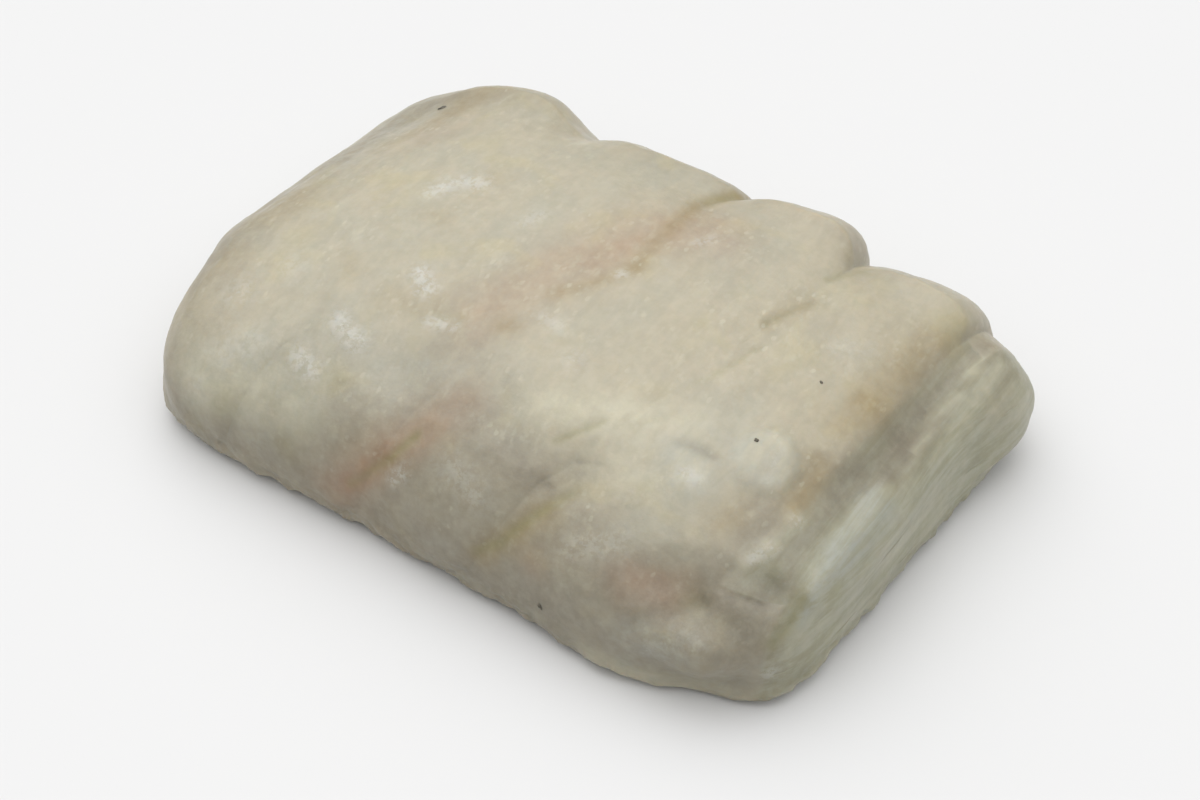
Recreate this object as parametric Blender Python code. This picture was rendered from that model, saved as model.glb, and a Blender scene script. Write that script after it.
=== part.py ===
"""Cod loin portion: one block of raw, skinless flesh, cut across the fish.

The block lies on its flat skin side. +X runs along the fish to the fibrous cut end, +Y runs
across it from the thin belly edge to the thick back edge, and +Z is up. A gridded cube is
rounded into a loaf, its sides are drawn to the plan's four edges, and its columns are led along
the seams between the flakes, so that each flake ends in a lip and the back edge is scalloped.
"""

from typing import NamedTuple

import bmesh
import bpy
import numpy as np


class Edge(NamedTuple):
    """One side of the plan, as a gentle curve: middle + slope * t + curve * t squared."""

    middle: float
    slope: float
    curve: float


class Seam(NamedTuple):
    """The line where one flake laps over the next, drawn on the unrolled width of the block."""

    at: float  # x where it crosses the middle of the width
    slant: float  # how far x moves from the middle to the far shoulder
    bow: float  # how far both shoulders lie from a straight line
    twist: float  # how far the far shoulder lies on, and the near one back
    lip_near: float  # how far the lip stands out at the near shoulder,
    lip_middle: float  # in the middle of the top
    lip_far: float  # and at the far shoulder


class Swell(NamedTuple):
    """A soft lump in the flesh, or a hollow where its rise is negative."""

    at: tuple[float, float, float]
    reach: tuple[float, float, float]
    rise: float


# Driving sizes, in metres.
LENGTH = 0.112
WIDTH = 0.076
THICKNESS = 0.0275
EQUATOR = 0.0060  # height of the block's widest line

# The four edges of the plan, before rounding: x over y, and y over x.
LEFT = Edge(-0.0549, -0.022, 0.7)
RIGHT = Edge(0.0572, 0.036, 0.3)
NEAR = Edge(-0.0395, -0.0185, -0.8)
FAR = Edge(0.0339, -0.050, 0.5)

# Roundness: 2 is elliptical, and a higher number is squarer.
PROFILE_LEFT, PROFILE_RIGHT = 3.45, 5.2
PROFILE_NEAR, PROFILE_FAR = 3.0, 3.3
PROFILE_UNDER = 7.0
CORNER_LEFT_NEAR, CORNER_RIGHT_NEAR = 8.0, 4.7
CORNER_LEFT_FAR, CORNER_RIGHT_FAR = 4.7, 8.2

END_SHARE = 0.93  # the share of the half length at which the end faces begin
FLAT_SHARE = 0.93  # the share of the depth under the equator at which the flesh lies flat

# Shares of the crown's height that are lost towards the left end, the right end and the near side.
LEFT_FALL, RIGHT_FALL, NEAR_FALL = 0.165, 0.235, 0.21
LEAN_END = 0.145  # how far the cut end leans back for each unit of height
LEAN_SIDE = 0.05  # how far the crest lies over towards the back edge

SEAMS = (
    Seam(-0.0218, 0.0076, -0.0032, -0.0010, 0.0010, 0.0006, 0.0020),
    Seam(0.0008, 0.0081, -0.0006, 0.0, 0.0014, 0.0009, 0.0018),
    Seam(0.0257, 0.0083, -0.0041, -0.0010, 0.0011, 0.0007, 0.0041),
    Seam(0.0479, 0.0024, -0.0022, 0.0006, 0.0016, 0.0013, 0.0035),
)
LEAST_STRIP = 0.0006  # between the last seam and the cut end
ROOT_RISE = 2.6  # a flake swells from its root with this power
LIP_FALL = 10  # and falls to the next seam with this one
SHOULDER = 6  # the power with which a lip grows from the middle to the shoulders

SWELLS = (
    # The left end: its shoulder, and the corner that falls away beyond it.
    Swell((-0.053, -0.012, 0.014), (0.008, 0.014, 0.014), 0.0021),
    Swell((-0.046, 0.014, 0.020), (0.010, 0.010, 0.014), -0.0015),
    # The far ends of the first flake.
    Swell((-0.030, 0.031, 0.018), (0.009, 0.006, 0.012), 0.0008),
    Swell((-0.019, 0.029, 0.022), (0.005, 0.006, 0.010), -0.0014),
    # The two corners of the cut end.
    Swell((0.057, 0.025, 0.010), (0.008, 0.010, 0.012), 0.0036),
    Swell((0.047, -0.040, 0.003), (0.005, 0.005, 0.005), -0.0008),
    # A round knob by the last seam, a lower one beside it, and the hollow under both.
    Swell((0.040, -0.013, 0.025), (0.0045, 0.005, 0.008), 0.0013),
    Swell((0.033, -0.021, 0.023), (0.005, 0.005, 0.008), 0.0008),
    Swell((0.038, -0.034, 0.015), (0.008, 0.004, 0.006), -0.0022),
    # The near corner's own lobe, with a crease between it and the cut end.
    Swell((0.044, -0.037, 0.009), (0.006, 0.005, 0.005), 0.0015),
    Swell((0.049, -0.031, 0.012), (0.0018, 0.006, 0.008), -0.0012),
    # The cut end: a ledge half-way down, and the groove above it.
    Swell((0.054, -0.010, 0.014), (0.005, 0.014, 0.0035), 0.0016),
    Swell((0.052, 0.005, 0.020), (0.004, 0.020, 0.0028), -0.0012),
    # The near shoulder of the middle flakes.
    Swell((0.013, -0.021, 0.024), (0.011, 0.006, 0.008), 0.0009),
    Swell((0.019, -0.029, 0.019), (0.004, 0.003, 0.006), -0.0008),
    Swell((-0.009, -0.026, 0.021), (0.009, 0.006, 0.007), -0.0008),
)

# Cells of the grid: columns for each flake, rows across the top, and rows up the sides.
FLAKE_CELLS = (14, 13, 12, 12, 3)
CELLS_ACROSS = 40
CELLS_HIGH = 12

FLESH_COLOUR = (0.50, 0.46, 0.36, 1.0)
FLESH_ROUGHNESS = 0.35

ON_FACE = 0.999  # a cube coordinate at least this large is on that face
TINY = 1e-9


def clear_scene():
    """Remove every object that the scene starts with."""
    for obj in list(bpy.data.objects):
        bpy.data.objects.remove(obj)


def gridded_cube(name, cells):
    """Add a cube from -1 to 1 with that many cells along each axis."""
    bpy.ops.mesh.primitive_cube_add(size=2)
    cube = bpy.context.object
    cube.name = cube.data.name = name
    grid = bmesh.new()
    grid.from_mesh(cube.data)
    for axis, count in enumerate(cells):
        along = [e for e in grid.edges if abs(e.verts[0].co[axis] - e.verts[1].co[axis]) > TINY]
        bmesh.ops.subdivide_edges(grid, edges=along, cuts=count - 1, use_grid_fill=True)
    grid.to_mesh(cube.data)
    grid.free()
    return cube


def unrolled(cube):
    """How far across the unrolled block each point lies: up to 1 on top, and to 2 down the sides."""
    _, v, w = cube
    down = np.where(np.abs(v) > ON_FACE, (1 - w) / 2, 0)
    return np.where(w < -ON_FACE, 2 * v, v + np.sign(v) * down)


def seam_lines(across):
    """Each seam's x over the unrolled width, between the two ends of the block."""
    end = END_SHARE * LENGTH / 2
    lines = [np.full_like(across, -end)]
    for seam in SEAMS:
        x = seam.at + seam.slant * across + seam.bow * across**2 + seam.twist * across**3
        lines.append(np.minimum(x, end - LEAST_STRIP))
    lines.append(np.full_like(across, end))
    return np.array(lines)


def flake_coordinates(cube):
    """Each point's flake number, and its place in that flake from 0 at the root to 1 at the lip."""
    starts = np.cumsum((0, *FLAKE_CELLS))
    column = np.round((cube[0] + 1) / 2 * starts[-1])
    number = np.searchsorted(starts, column, side="right") - 1
    number = np.minimum(number, len(SEAMS))
    place = (column - starts[number]) / np.array(FLAKE_CELLS)[number]
    return number, place


def led_along_seams(cube):
    """x along the block, with the cube's columns led along the seams."""
    number, place = flake_coordinates(cube)
    lines = seam_lines(unrolled(cube))
    every = np.arange(len(number))
    return lines[number, every] * (1 - place) + lines[number + 1, every] * place


def rounded(cube):
    """The points of a rounded block that reaches 1 each way, with its own roundness on each side."""
    _, v, w = cube
    u = led_along_seams(cube) / (LENGTH / 2)
    under = w < 0
    side = np.where(v < 0, PROFILE_NEAR, PROFILE_FAR)
    side = np.where(under, PROFILE_UNDER, side)
    section = np.maximum((np.abs(v) ** side + np.abs(w) ** side) ** (1 / side), TINY)
    end = np.where(u < 0, PROFILE_LEFT, PROFILE_RIGHT)
    end = np.where(under, PROFILE_UNDER, end)
    near_corner = np.where(u < 0, CORNER_LEFT_NEAR, CORNER_RIGHT_NEAR)
    far_corner = np.where(u < 0, CORNER_LEFT_FAR, CORNER_RIGHT_FAR)
    corner = np.where(v < 0, near_corner, far_corner)
    # The ends close like their profile over the top, and like the plan's corners round the sides.
    sideways = v**4 / np.maximum(v**4 + w**4, TINY)
    closing = end * (1 - sideways) + corner * sideways
    on_end = np.abs(cube[0]) > ON_FACE
    along = np.minimum(np.abs(u), END_SHARE)
    on_sides = (1 - along**closing) ** (1 / closing)
    rim = (1 - END_SHARE**closing) ** (1 / closing)
    radius = np.where(on_end, rim * np.maximum(np.abs(v), np.abs(w)), on_sides)
    end_u = np.sign(u) * (1 - radius**closing) ** (1 / closing)
    return np.where(on_end, end_u, u), v / section * radius, w / section * radius


def edge_line(edge, t):
    """Where that edge of the plan lies at t along it."""
    return edge.middle + edge.slope * t + edge.curve * t**2


def crown(x, y):
    """How high the top stands above the equator."""
    left = LEFT_FALL * np.clip(-x / (LENGTH / 2), 0, 1) ** 2
    right = RIGHT_FALL * np.clip(x / (LENGTH / 2), 0, 1) ** 2
    near = NEAR_FALL * np.clip(-y / (WIDTH / 2), 0, 1) ** 2
    return (THICKNESS - EQUATOR) * (1 - left - right - near)


def base_form(cube):
    """The block before its flakes and swells, as rows of x, y and z."""
    u, v, w = rounded(cube)
    x, y = u * LENGTH / 2, v * WIDTH / 2
    # The edges depend on each other's place, and this settles in a few rounds.
    for _ in range(4):
        left, right = edge_line(LEFT, y), edge_line(RIGHT, y)
        near, far = edge_line(NEAR, x), edge_line(FAR, x)
        x = left + (right - left) * (u + 1) / 2
        y = near + (far - near) * (v + 1) / 2
    above = EQUATOR + w * crown(x, y)
    below = EQUATOR * np.clip(1 + w / FLAT_SHARE, 0, 1)
    z = np.where(w > 0, above, below)
    height = np.maximum(z - EQUATOR, 0)
    x = x - LEAN_END * np.maximum(u, 0) ** 3 * height
    y = y + LEAN_SIDE * height
    return np.array([x, y, z]).T


def flake_relief(cube):
    """How far the flakes raise each point: they swell from their root and fall at their lip."""
    number, place = flake_coordinates(cube)
    across = np.clip(unrolled(cube), -1, 1)
    lips = [[seam.lip_near, seam.lip_middle, seam.lip_far] for seam in SEAMS]
    near, middle, far = np.array([*lips, [0, 0, 0]])[number].T
    shoulder = across**SHOULDER
    height = middle * (1 - shoulder) + np.where(across < 0, near, far) * shoulder
    return height * (1 - (1 - place) ** ROOT_RISE) * (1 - place**LIP_FALL)


def swelling(points):
    """How far the lumps and hollows raise each point."""
    total = np.zeros(len(points))
    for swell in SWELLS:
        away = (points - np.array(swell.at)) / np.array(swell.reach)
        total += swell.rise * np.exp(-(away**2).sum(axis=1))
    return total


def read_vectors(mesh, name):
    """One row of three numbers for each vertex."""
    values = np.empty(len(mesh.vertices) * 3)
    mesh.vertices.foreach_get(name, values)
    return values.reshape(-1, 3)


def place_vertices(mesh, points):
    """Move the mesh's vertices to these points."""
    mesh.vertices.foreach_set("co", points.ravel())
    mesh.update()


def form_flesh(mesh):
    """Give the gridded cube the portion's form, with its flat side down and its box centred."""
    cube = read_vectors(mesh, "co").T
    points = base_form(cube)
    place_vertices(mesh, points)
    # Under the equator the relief fades, and is gone where the flesh lies flat.
    fade = np.clip(1 + cube[2] / FLAT_SHARE, 0, 1)
    relief = (flake_relief(cube) + swelling(points)) * np.where(cube[2] < 0, fade, 1)
    flat = points[:, 2] <= 0
    points = points + read_vectors(mesh, "normal") * relief[:, None]
    points[:, 2] = np.where(flat, 0, np.maximum(points[:, 2], 0))
    middle = (points.min(axis=0) + points.max(axis=0)) / 2
    points[:, :2] -= middle[:2]
    place_vertices(mesh, points)


def merge_flat_side(mesh):
    """Make one face of the underside's flat cells."""
    grid = bmesh.new()
    grid.from_mesh(mesh)
    flat = [face for face in grid.faces if all(vert.co.z <= 0 for vert in face.verts)]
    bmesh.ops.dissolve_faces(grid, faces=flat)
    grid.to_mesh(mesh)
    grid.free()


def flesh_material():
    """Pale, wet, cream-coloured flesh."""
    material = bpy.data.materials.new("cod_flesh")
    material.use_nodes = True
    shader = material.node_tree.nodes["Principled BSDF"]
    shader.inputs["Base Color"].default_value = FLESH_COLOUR
    shader.inputs["Roughness"].default_value = FLESH_ROUGHNESS
    shader.inputs["Metallic"].default_value = 0.0
    return material


def build_fillet():
    """The one solid, in the portion's collection."""
    collection = bpy.data.collections.new("cod_fillet")
    bpy.context.scene.collection.children.link(collection)
    fillet = gridded_cube("fillet", (sum(FLAKE_CELLS), CELLS_ACROSS, CELLS_HIGH))
    form_flesh(fillet.data)
    merge_flat_side(fillet.data)
    fillet.data.shade_smooth()
    fillet.data.materials.append(flesh_material())
    for holder in list(fillet.users_collection):
        holder.objects.unlink(fillet)
    collection.objects.link(fillet)


def main():
    clear_scene()
    build_fillet()


main()
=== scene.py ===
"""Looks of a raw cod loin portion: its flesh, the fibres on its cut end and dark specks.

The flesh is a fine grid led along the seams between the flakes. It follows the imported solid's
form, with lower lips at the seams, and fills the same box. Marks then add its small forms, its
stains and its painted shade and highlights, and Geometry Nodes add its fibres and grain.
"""

import logging
import math
from dataclasses import dataclass, field
from enum import Enum

import bmesh
import bpy
import numpy as np
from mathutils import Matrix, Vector
from mathutils.bvhtree import BVHTree


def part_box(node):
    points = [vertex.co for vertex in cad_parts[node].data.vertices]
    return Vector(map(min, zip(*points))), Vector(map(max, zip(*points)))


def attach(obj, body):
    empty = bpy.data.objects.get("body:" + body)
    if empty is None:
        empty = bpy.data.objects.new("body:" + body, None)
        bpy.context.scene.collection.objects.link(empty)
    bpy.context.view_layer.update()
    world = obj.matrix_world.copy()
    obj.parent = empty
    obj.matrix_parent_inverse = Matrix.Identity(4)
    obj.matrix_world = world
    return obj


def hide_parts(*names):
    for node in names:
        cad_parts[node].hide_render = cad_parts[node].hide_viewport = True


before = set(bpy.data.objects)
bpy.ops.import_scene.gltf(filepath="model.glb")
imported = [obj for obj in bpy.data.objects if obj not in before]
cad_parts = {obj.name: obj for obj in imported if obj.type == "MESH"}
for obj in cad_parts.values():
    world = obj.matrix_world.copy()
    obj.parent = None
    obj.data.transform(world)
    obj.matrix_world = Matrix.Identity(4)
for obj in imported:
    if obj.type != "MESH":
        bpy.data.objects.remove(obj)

log = logging.getLogger("cod_fillet")

SOLID = "fillet"
BODY = "root"
MM = 0.001
ON_FACE = 0.999  # a cube coordinate at least this large is on that face
TINY = 1e-9
LEVEL = 1e-6  # how far above its lowest point a flat side still counts as flat, in metres

Colour = tuple[float, float, float]
Triple = tuple[float, float, float]
Stroke = tuple[Triple, ...]


# ---------------------------------------------------------------------------
# Node trees


class NodeWriter:
    """Adds nodes to one tree and wires them, so that a tree reads like a formula."""

    def __init__(self, tree: bpy.types.NodeTree) -> None:
        """Keep the tree to write in.

        Args:
            tree: A shader or geometry node tree.
        """
        self.tree = tree

    def add(self, kind: str, inputs: dict | None = None, **settings: object) -> bpy.types.Node:
        """Add one node.

        Args:
            kind: The node's type name.
            inputs: Values or sockets for its inputs, by name or index.
            **settings: Properties to set on the node first.

        Returns:
            The new node.
        """
        node = self.tree.nodes.new(kind)
        for name, value in settings.items():
            setattr(node, name, value)
        for key, value in (inputs or {}).items():
            self.feed(node.inputs[key], value)
        return node

    def feed(self, socket: bpy.types.NodeSocket, value: object) -> None:
        """Link a socket to an input, or set its value.

        Args:
            socket: The input to feed.
            value: A socket to link, or a plain value.
        """
        if isinstance(value, bpy.types.NodeSocket):
            self.tree.links.new(value, socket)
        else:
            socket.default_value = value

    def math(self, operation: str, *terms: object, clamp: bool = False) -> bpy.types.NodeSocket:
        """Add a Math node.

        Args:
            operation: The node's operation.
            *terms: Its inputs, as values or sockets.
            clamp: Whether the result is kept from 0 to 1.

        Returns:
            The result's socket.
        """
        inputs = dict(enumerate(terms))
        return self.add("ShaderNodeMath", inputs, operation=operation, use_clamp=clamp).outputs[0]

    def vector(self, operation: str, *terms: object) -> bpy.types.NodeSocket:
        """Add a Vector Math node.

        Args:
            operation: The node's operation.
            *terms: Its inputs, as values or sockets.

        Returns:
            The result's socket.
        """
        inputs = dict(enumerate(terms))
        if operation == "SCALE":
            inputs = {0: terms[0], "Scale": terms[1]}
        return self.add("ShaderNodeVectorMath", inputs, operation=operation).outputs[0]

    def noise(self, where: object, scale: object, detail: float = 2.0, rough: float = 0.5,
              distortion: float = 0.0) -> bpy.types.NodeSocket:
        """Add a Noise Texture.

        Args:
            where: The coordinates' socket.
            scale: Waves for each metre.
            detail: Octaves.
            rough: How strong the finer octaves are.
            distortion: How far the pattern is swirled.

        Returns:
            The noise's value, about 0 to 1.
        """
        inputs = {
            "Vector": where,
            "Scale": scale,
            "Detail": detail,
            "Roughness": rough,
            "Distortion": distortion,
        }
        return self.add("ShaderNodeTexNoise", inputs).outputs[0]

    def noise_colour(self, where: object, scale: float) -> bpy.types.NodeSocket:
        """Add a Noise Texture and return its colour, about 0 to 1 on each axis."""
        inputs = {"Vector": where, "Scale": scale, "Detail": 2.0, "Roughness": 0.5}
        return self.add("ShaderNodeTexNoise", inputs).outputs["Color"]

    def ramp(self, value: object, low: float, high: float, start: float = 0.0,
             end: float = 1.0) -> bpy.types.NodeSocket:
        """Add a smooth Map Range.

        Args:
            value: What is mapped.
            low: The value at which the result is start.
            high: The value at which the result is end.
            start: The result up to low.
            end: The result from high on.

        Returns:
            The result's socket.
        """
        inputs = {0: value, 1: low, 2: high, 3: start, 4: end}
        node = self.add("ShaderNodeMapRange", inputs, interpolation_type="SMOOTHSTEP")
        return node.outputs[0]

    def blend(self, factor: object, first: object, second: object,
              mode: str = "MIX") -> bpy.types.NodeSocket:
        """Mix two colours.

        Args:
            factor: The share of the second.
            first: A colour or a socket.
            second: A colour or a socket.
            mode: The blend mode.

        Returns:
            The mixed colour's socket.
        """
        node = self.add("ShaderNodeMix", data_type="RGBA", blend_type=mode)
        for place, value in {0: factor, 6: first, 7: second}.items():
            self.feed(node.inputs[place], (*value, 1.0) if isinstance(value, tuple) else value)
        return node.outputs[2]

    def height(self, where: bpy.types.NodeSocket) -> bpy.types.NodeSocket:
        """The z of each place."""
        return self.add("ShaderNodeSeparateXYZ", {0: where}).outputs[2]

    def object_place(self) -> bpy.types.NodeSocket:
        """Object coordinates, for a material."""
        return self.add("ShaderNodeTexCoord").outputs["Object"]


@dataclass(frozen=True)
class Pattern:
    """A noise that is read through a smooth ramp."""

    count: float  # waves for each metre
    detail: float
    rough: float
    low: float
    high: float
    start: float = 0.0
    end: float = 1.0
    swirl: float = 0.0

    def over(self, nodes: NodeWriter, where: bpy.types.NodeSocket) -> bpy.types.NodeSocket:
        """The pattern's value at each place."""
        value = nodes.noise(where, self.count, self.detail, self.rough, self.swirl)
        return nodes.ramp(value, self.low, self.high, self.start, self.end)


def start_material(name: str) -> tuple[bpy.types.Material, NodeWriter, bpy.types.Node]:
    """Start a material around the Principled shader.

    Args:
        name: The material's name.

    Returns:
        The material, a writer for its nodes, and its shader.
    """
    made = bpy.data.materials.new(name)
    made.use_nodes = True
    return made, NodeWriter(made.node_tree), made.node_tree.nodes["Principled BSDF"]


def shader_attribute(nodes: NodeWriter, name: str) -> bpy.types.NodeSocket:
    """Read a float attribute of the mesh in a material.

    Args:
        nodes: The material's writer.
        name: The attribute.

    Returns:
        Its value's socket.
    """
    return nodes.add("ShaderNodeAttribute", attribute_name=name).outputs["Fac"]


def geometry_attribute(nodes: NodeWriter, name: str) -> bpy.types.NodeSocket:
    """Read a float attribute of the mesh in a geometry tree.

    Args:
        nodes: The tree's writer.
        name: The attribute.

    Returns:
        Its value's socket.
    """
    node = nodes.add("GeometryNodeInputNamedAttribute", {"Name": name}, data_type="FLOAT")
    return node.outputs["Attribute"]


class GeometryTree:
    """A Geometry Nodes tree with named inputs, and the modifier that runs it once."""

    def __init__(self, name: str) -> None:
        """Start a tree that takes and gives a geometry.

        Args:
            name: The tree's name.
        """
        self.tree = bpy.data.node_groups.new(name, "GeometryNodeTree")
        self.nodes = NodeWriter(self.tree)
        self.values: dict[str, object] = {}
        self.tree.interface.new_socket("Geometry", in_out="INPUT", socket_type="NodeSocketGeometry")
        self.tree.interface.new_socket("Geometry", in_out="OUTPUT", socket_type="NodeSocketGeometry")
        self.entry = self.nodes.add("NodeGroupInput")

    def declare(self, **values: float) -> None:
        """Add named inputs with their values.

        Args:
            **values: Each input's name and value.
        """
        for name, value in values.items():
            kind = "NodeSocketInt" if isinstance(value, int) else "NodeSocketFloat"
            self.tree.interface.new_socket(name, in_out="INPUT", socket_type=kind)
            self.values[name] = value

    def given(self, name: str = "Geometry") -> bpy.types.NodeSocket:
        """The socket of one of the tree's inputs."""
        return self.entry.outputs[name]

    def close(self, geometry: bpy.types.NodeSocket, material: bpy.types.Material) -> None:
        """End the tree: smooth, realise the instances and set the material.

        Args:
            geometry: What the tree has made.
            material: The finish.
        """
        add = self.nodes.add
        real = add("GeometryNodeRealizeInstances", {"Geometry": geometry})
        smooth = add("GeometryNodeSetShadeSmooth", {"Geometry": real.outputs[0]})
        dressed = add("GeometryNodeSetMaterial", {"Geometry": smooth.outputs[0], "Material": material})
        leave = add("NodeGroupOutput")
        self.nodes.feed(leave.inputs[0], dressed.outputs[0])

    def run(self, piece: bpy.types.Object) -> None:
        """Run the tree on a piece and keep the result as its plain mesh.

        Args:
            piece: The object whose mesh the tree takes and replaces.
        """
        modifier = piece.modifiers.new(self.tree.name, "NODES")
        modifier.node_group = self.tree
        for item in self.tree.interface.items_tree:
            if item.in_out == "INPUT" and item.name in self.values:
                modifier[item.identifier] = self.values[item.name]
        graph = bpy.context.evaluated_depsgraph_get()
        made = bpy.data.meshes.new_from_object(piece.evaluated_get(graph))
        piece.modifiers.remove(modifier)
        old = piece.data
        piece.data = made
        made.name = piece.name
        bpy.data.meshes.remove(old)


def new_piece(name: str, mesh: bpy.types.Mesh) -> bpy.types.Object:
    """Put a mesh in the scene as an object at the origin.

    Args:
        name: The piece's name.
        mesh: Its mesh.

    Returns:
        The object.
    """
    piece = bpy.data.objects.new(name, mesh)
    bpy.context.scene.collection.objects.link(piece)
    return piece


# ---------------------------------------------------------------------------
# Form


@dataclass(frozen=True)
class Edge:
    """One side of the plan, as a gentle curve."""

    middle: float
    slope: float
    curve: float

    def at(self, t: np.ndarray) -> np.ndarray:
        """Where the edge lies at t along it."""
        return self.middle + self.slope * t + self.curve * t**2


@dataclass(frozen=True)
class Seam:
    """The line where one flake laps over the next, on the unrolled width of the block."""

    middle: float
    slant: float
    bow: float
    twist: float
    lip_near: float
    lip_middle: float
    lip_far: float

    def line(self, across: np.ndarray) -> np.ndarray:
        """The seam's x at each place over the unrolled width."""
        return self.middle + self.slant * across + self.bow * across**2 + self.twist * across**3


@dataclass(frozen=True)
class Swell:
    """A soft lump in the flesh, or a hollow where its rise is negative."""

    at: Triple
    reach: Triple
    rise: float

    def height(self, points: np.ndarray) -> np.ndarray:
        """How far it raises each point."""
        away = (points - np.array(self.at)) / np.array(self.reach)
        return self.rise * np.exp(-(away**2).sum(axis=1))


@dataclass
class LoinForm:
    """The portion's form: a rounded loaf whose columns follow the seams between its flakes."""

    length: float = 0.112
    width: float = 0.076
    thickness: float = 0.0275
    equator: float = 0.0060
    left: Edge = Edge(-0.0549, -0.022, 0.7)
    right: Edge = Edge(0.0572, 0.036, 0.3)
    near: Edge = Edge(-0.0395, -0.0185, -0.8)
    far: Edge = Edge(0.0339, -0.050, 0.5)
    profile_ends: tuple[float, float] = (3.45, 5.2)
    profile_sides: tuple[float, float] = (3.0, 3.3)
    profile_under: float = 7.0
    corners_near: tuple[float, float] = (8.0, 4.7)
    corners_far: tuple[float, float] = (4.7, 8.2)
    end_share: float = 0.93
    flat_share: float = 0.93
    falls: Triple = (0.165, 0.235, 0.21)
    lean_end: float = 0.145
    lean_side: float = 0.05
    fitting_rounds: int = 4  # how often the plan's edges are fitted to each other
    seams: tuple[Seam, ...] = (
        Seam(-0.0218, 0.0076, -0.0032, -0.0010, 0.0005, 0.0002, 0.0020),
        Seam(0.0008, 0.0081, -0.0006, 0.0, 0.0006, 0.0003, 0.0018),
        Seam(0.0257, 0.0083, -0.0041, -0.0010, 0.0007, 0.0003, 0.0041),
        Seam(0.0479, 0.0024, -0.0022, 0.0006, 0.0004, 0.0002, 0.0030),
    )
    least_strip: float = 0.0006
    root_rise: float = 2.6
    lip_fall: float = 9.0
    lip_level: float = 0.8
    lip_swing: float = 0.35
    lip_waves: Triple = (7.0, 2.4, 3.1)
    shoulder: float = 6.0
    crowding: float = 0.6  # how much closer the columns lie at the seams
    flake_cells: tuple[int, ...] = (56, 52, 50, 50, 8)
    cells_across: int = 150
    cells_high: int = 44
    swells: tuple[Swell, ...] = (
        Swell((-0.053, -0.012, 0.014), (0.008, 0.014, 0.014), 0.0021),
        Swell((-0.046, 0.014, 0.020), (0.010, 0.010, 0.014), -0.0015),
        Swell((-0.030, 0.031, 0.018), (0.009, 0.006, 0.012), 0.0008),
        Swell((-0.019, 0.029, 0.022), (0.005, 0.006, 0.010), -0.0014),
        Swell((0.057, 0.025, 0.010), (0.008, 0.010, 0.012), 0.0036),
        Swell((0.047, -0.040, 0.003), (0.005, 0.005, 0.005), -0.0008),
        Swell((0.040, -0.013, 0.025), (0.0045, 0.005, 0.008), 0.0013),
        Swell((0.033, -0.021, 0.023), (0.005, 0.005, 0.008), 0.0008),
        Swell((0.038, -0.034, 0.015), (0.008, 0.004, 0.006), -0.0022),
        Swell((0.044, -0.037, 0.009), (0.006, 0.005, 0.005), 0.0015),
        Swell((0.049, -0.031, 0.012), (0.0018, 0.006, 0.008), -0.0012),
        Swell((0.054, -0.010, 0.014), (0.005, 0.014, 0.0035), 0.0016),
        Swell((0.052, 0.005, 0.020), (0.004, 0.020, 0.0028), -0.0012),
        Swell((0.013, -0.021, 0.024), (0.011, 0.006, 0.008), 0.0009),
        Swell((0.019, -0.029, 0.019), (0.004, 0.003, 0.006), -0.0008),
        Swell((-0.009, -0.026, 0.021), (0.009, 0.006, 0.007), -0.0008),
    )

    def unrolled(self, cube: np.ndarray) -> np.ndarray:
        """Find how far across the unrolled block each point lies.

        Args:
            cube: Points on the cube from -1 to 1, as rows.

        Returns:
            Up to 1 on top and to 2 down the sides, and negative on the near half.
        """
        _, v, w = cube.T
        down = np.where(np.abs(v) > ON_FACE, (1 - w) / 2, 0)
        return np.where(w < -ON_FACE, 2 * v, v + np.sign(v) * down)

    def lines(self, across: np.ndarray) -> np.ndarray:
        """Find each seam's x over the unrolled width, between the two ends of the block.

        Args:
            across: Places over the unrolled width.

        Returns:
            One row for each line, from the left end to the right one.
        """
        end = self.end_share * self.length / 2
        seams = [np.minimum(seam.line(across), end - self.least_strip) for seam in self.seams]
        return np.array([np.full_like(across, -end), *seams, np.full_like(across, end)])

    def flakes(self, cube: np.ndarray) -> tuple[np.ndarray, np.ndarray]:
        """Find the flake that each point is on.

        Args:
            cube: Points on the cube from -1 to 1, as rows.

        Returns:
            The flake's number, and the point's place from 0 at its root to 1 at its lip.
        """
        starts = np.cumsum((0, *self.flake_cells))
        column = np.round((cube[:, 0] + 1) / 2 * starts[-1])
        number = np.searchsorted(starts, column, side="right") - 1
        number = np.minimum(number, len(self.seams))
        share = (column - starts[number]) / np.array(self.flake_cells)[number]
        turn = 2 * math.pi
        return number, share - self.crowding * np.sin(turn * share) / turn

    def led(self, cube: np.ndarray) -> np.ndarray:
        """Find x along the block, with the cube's columns led along the seams.

        Args:
            cube: Points on the cube from -1 to 1, as rows.

        Returns:
            Each point's x, in metres.
        """
        number, place = self.flakes(cube)
        lines = self.lines(self.unrolled(cube))
        every = np.arange(len(number))
        return lines[number, every] * (1 - place) + lines[number + 1, every] * place

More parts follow.
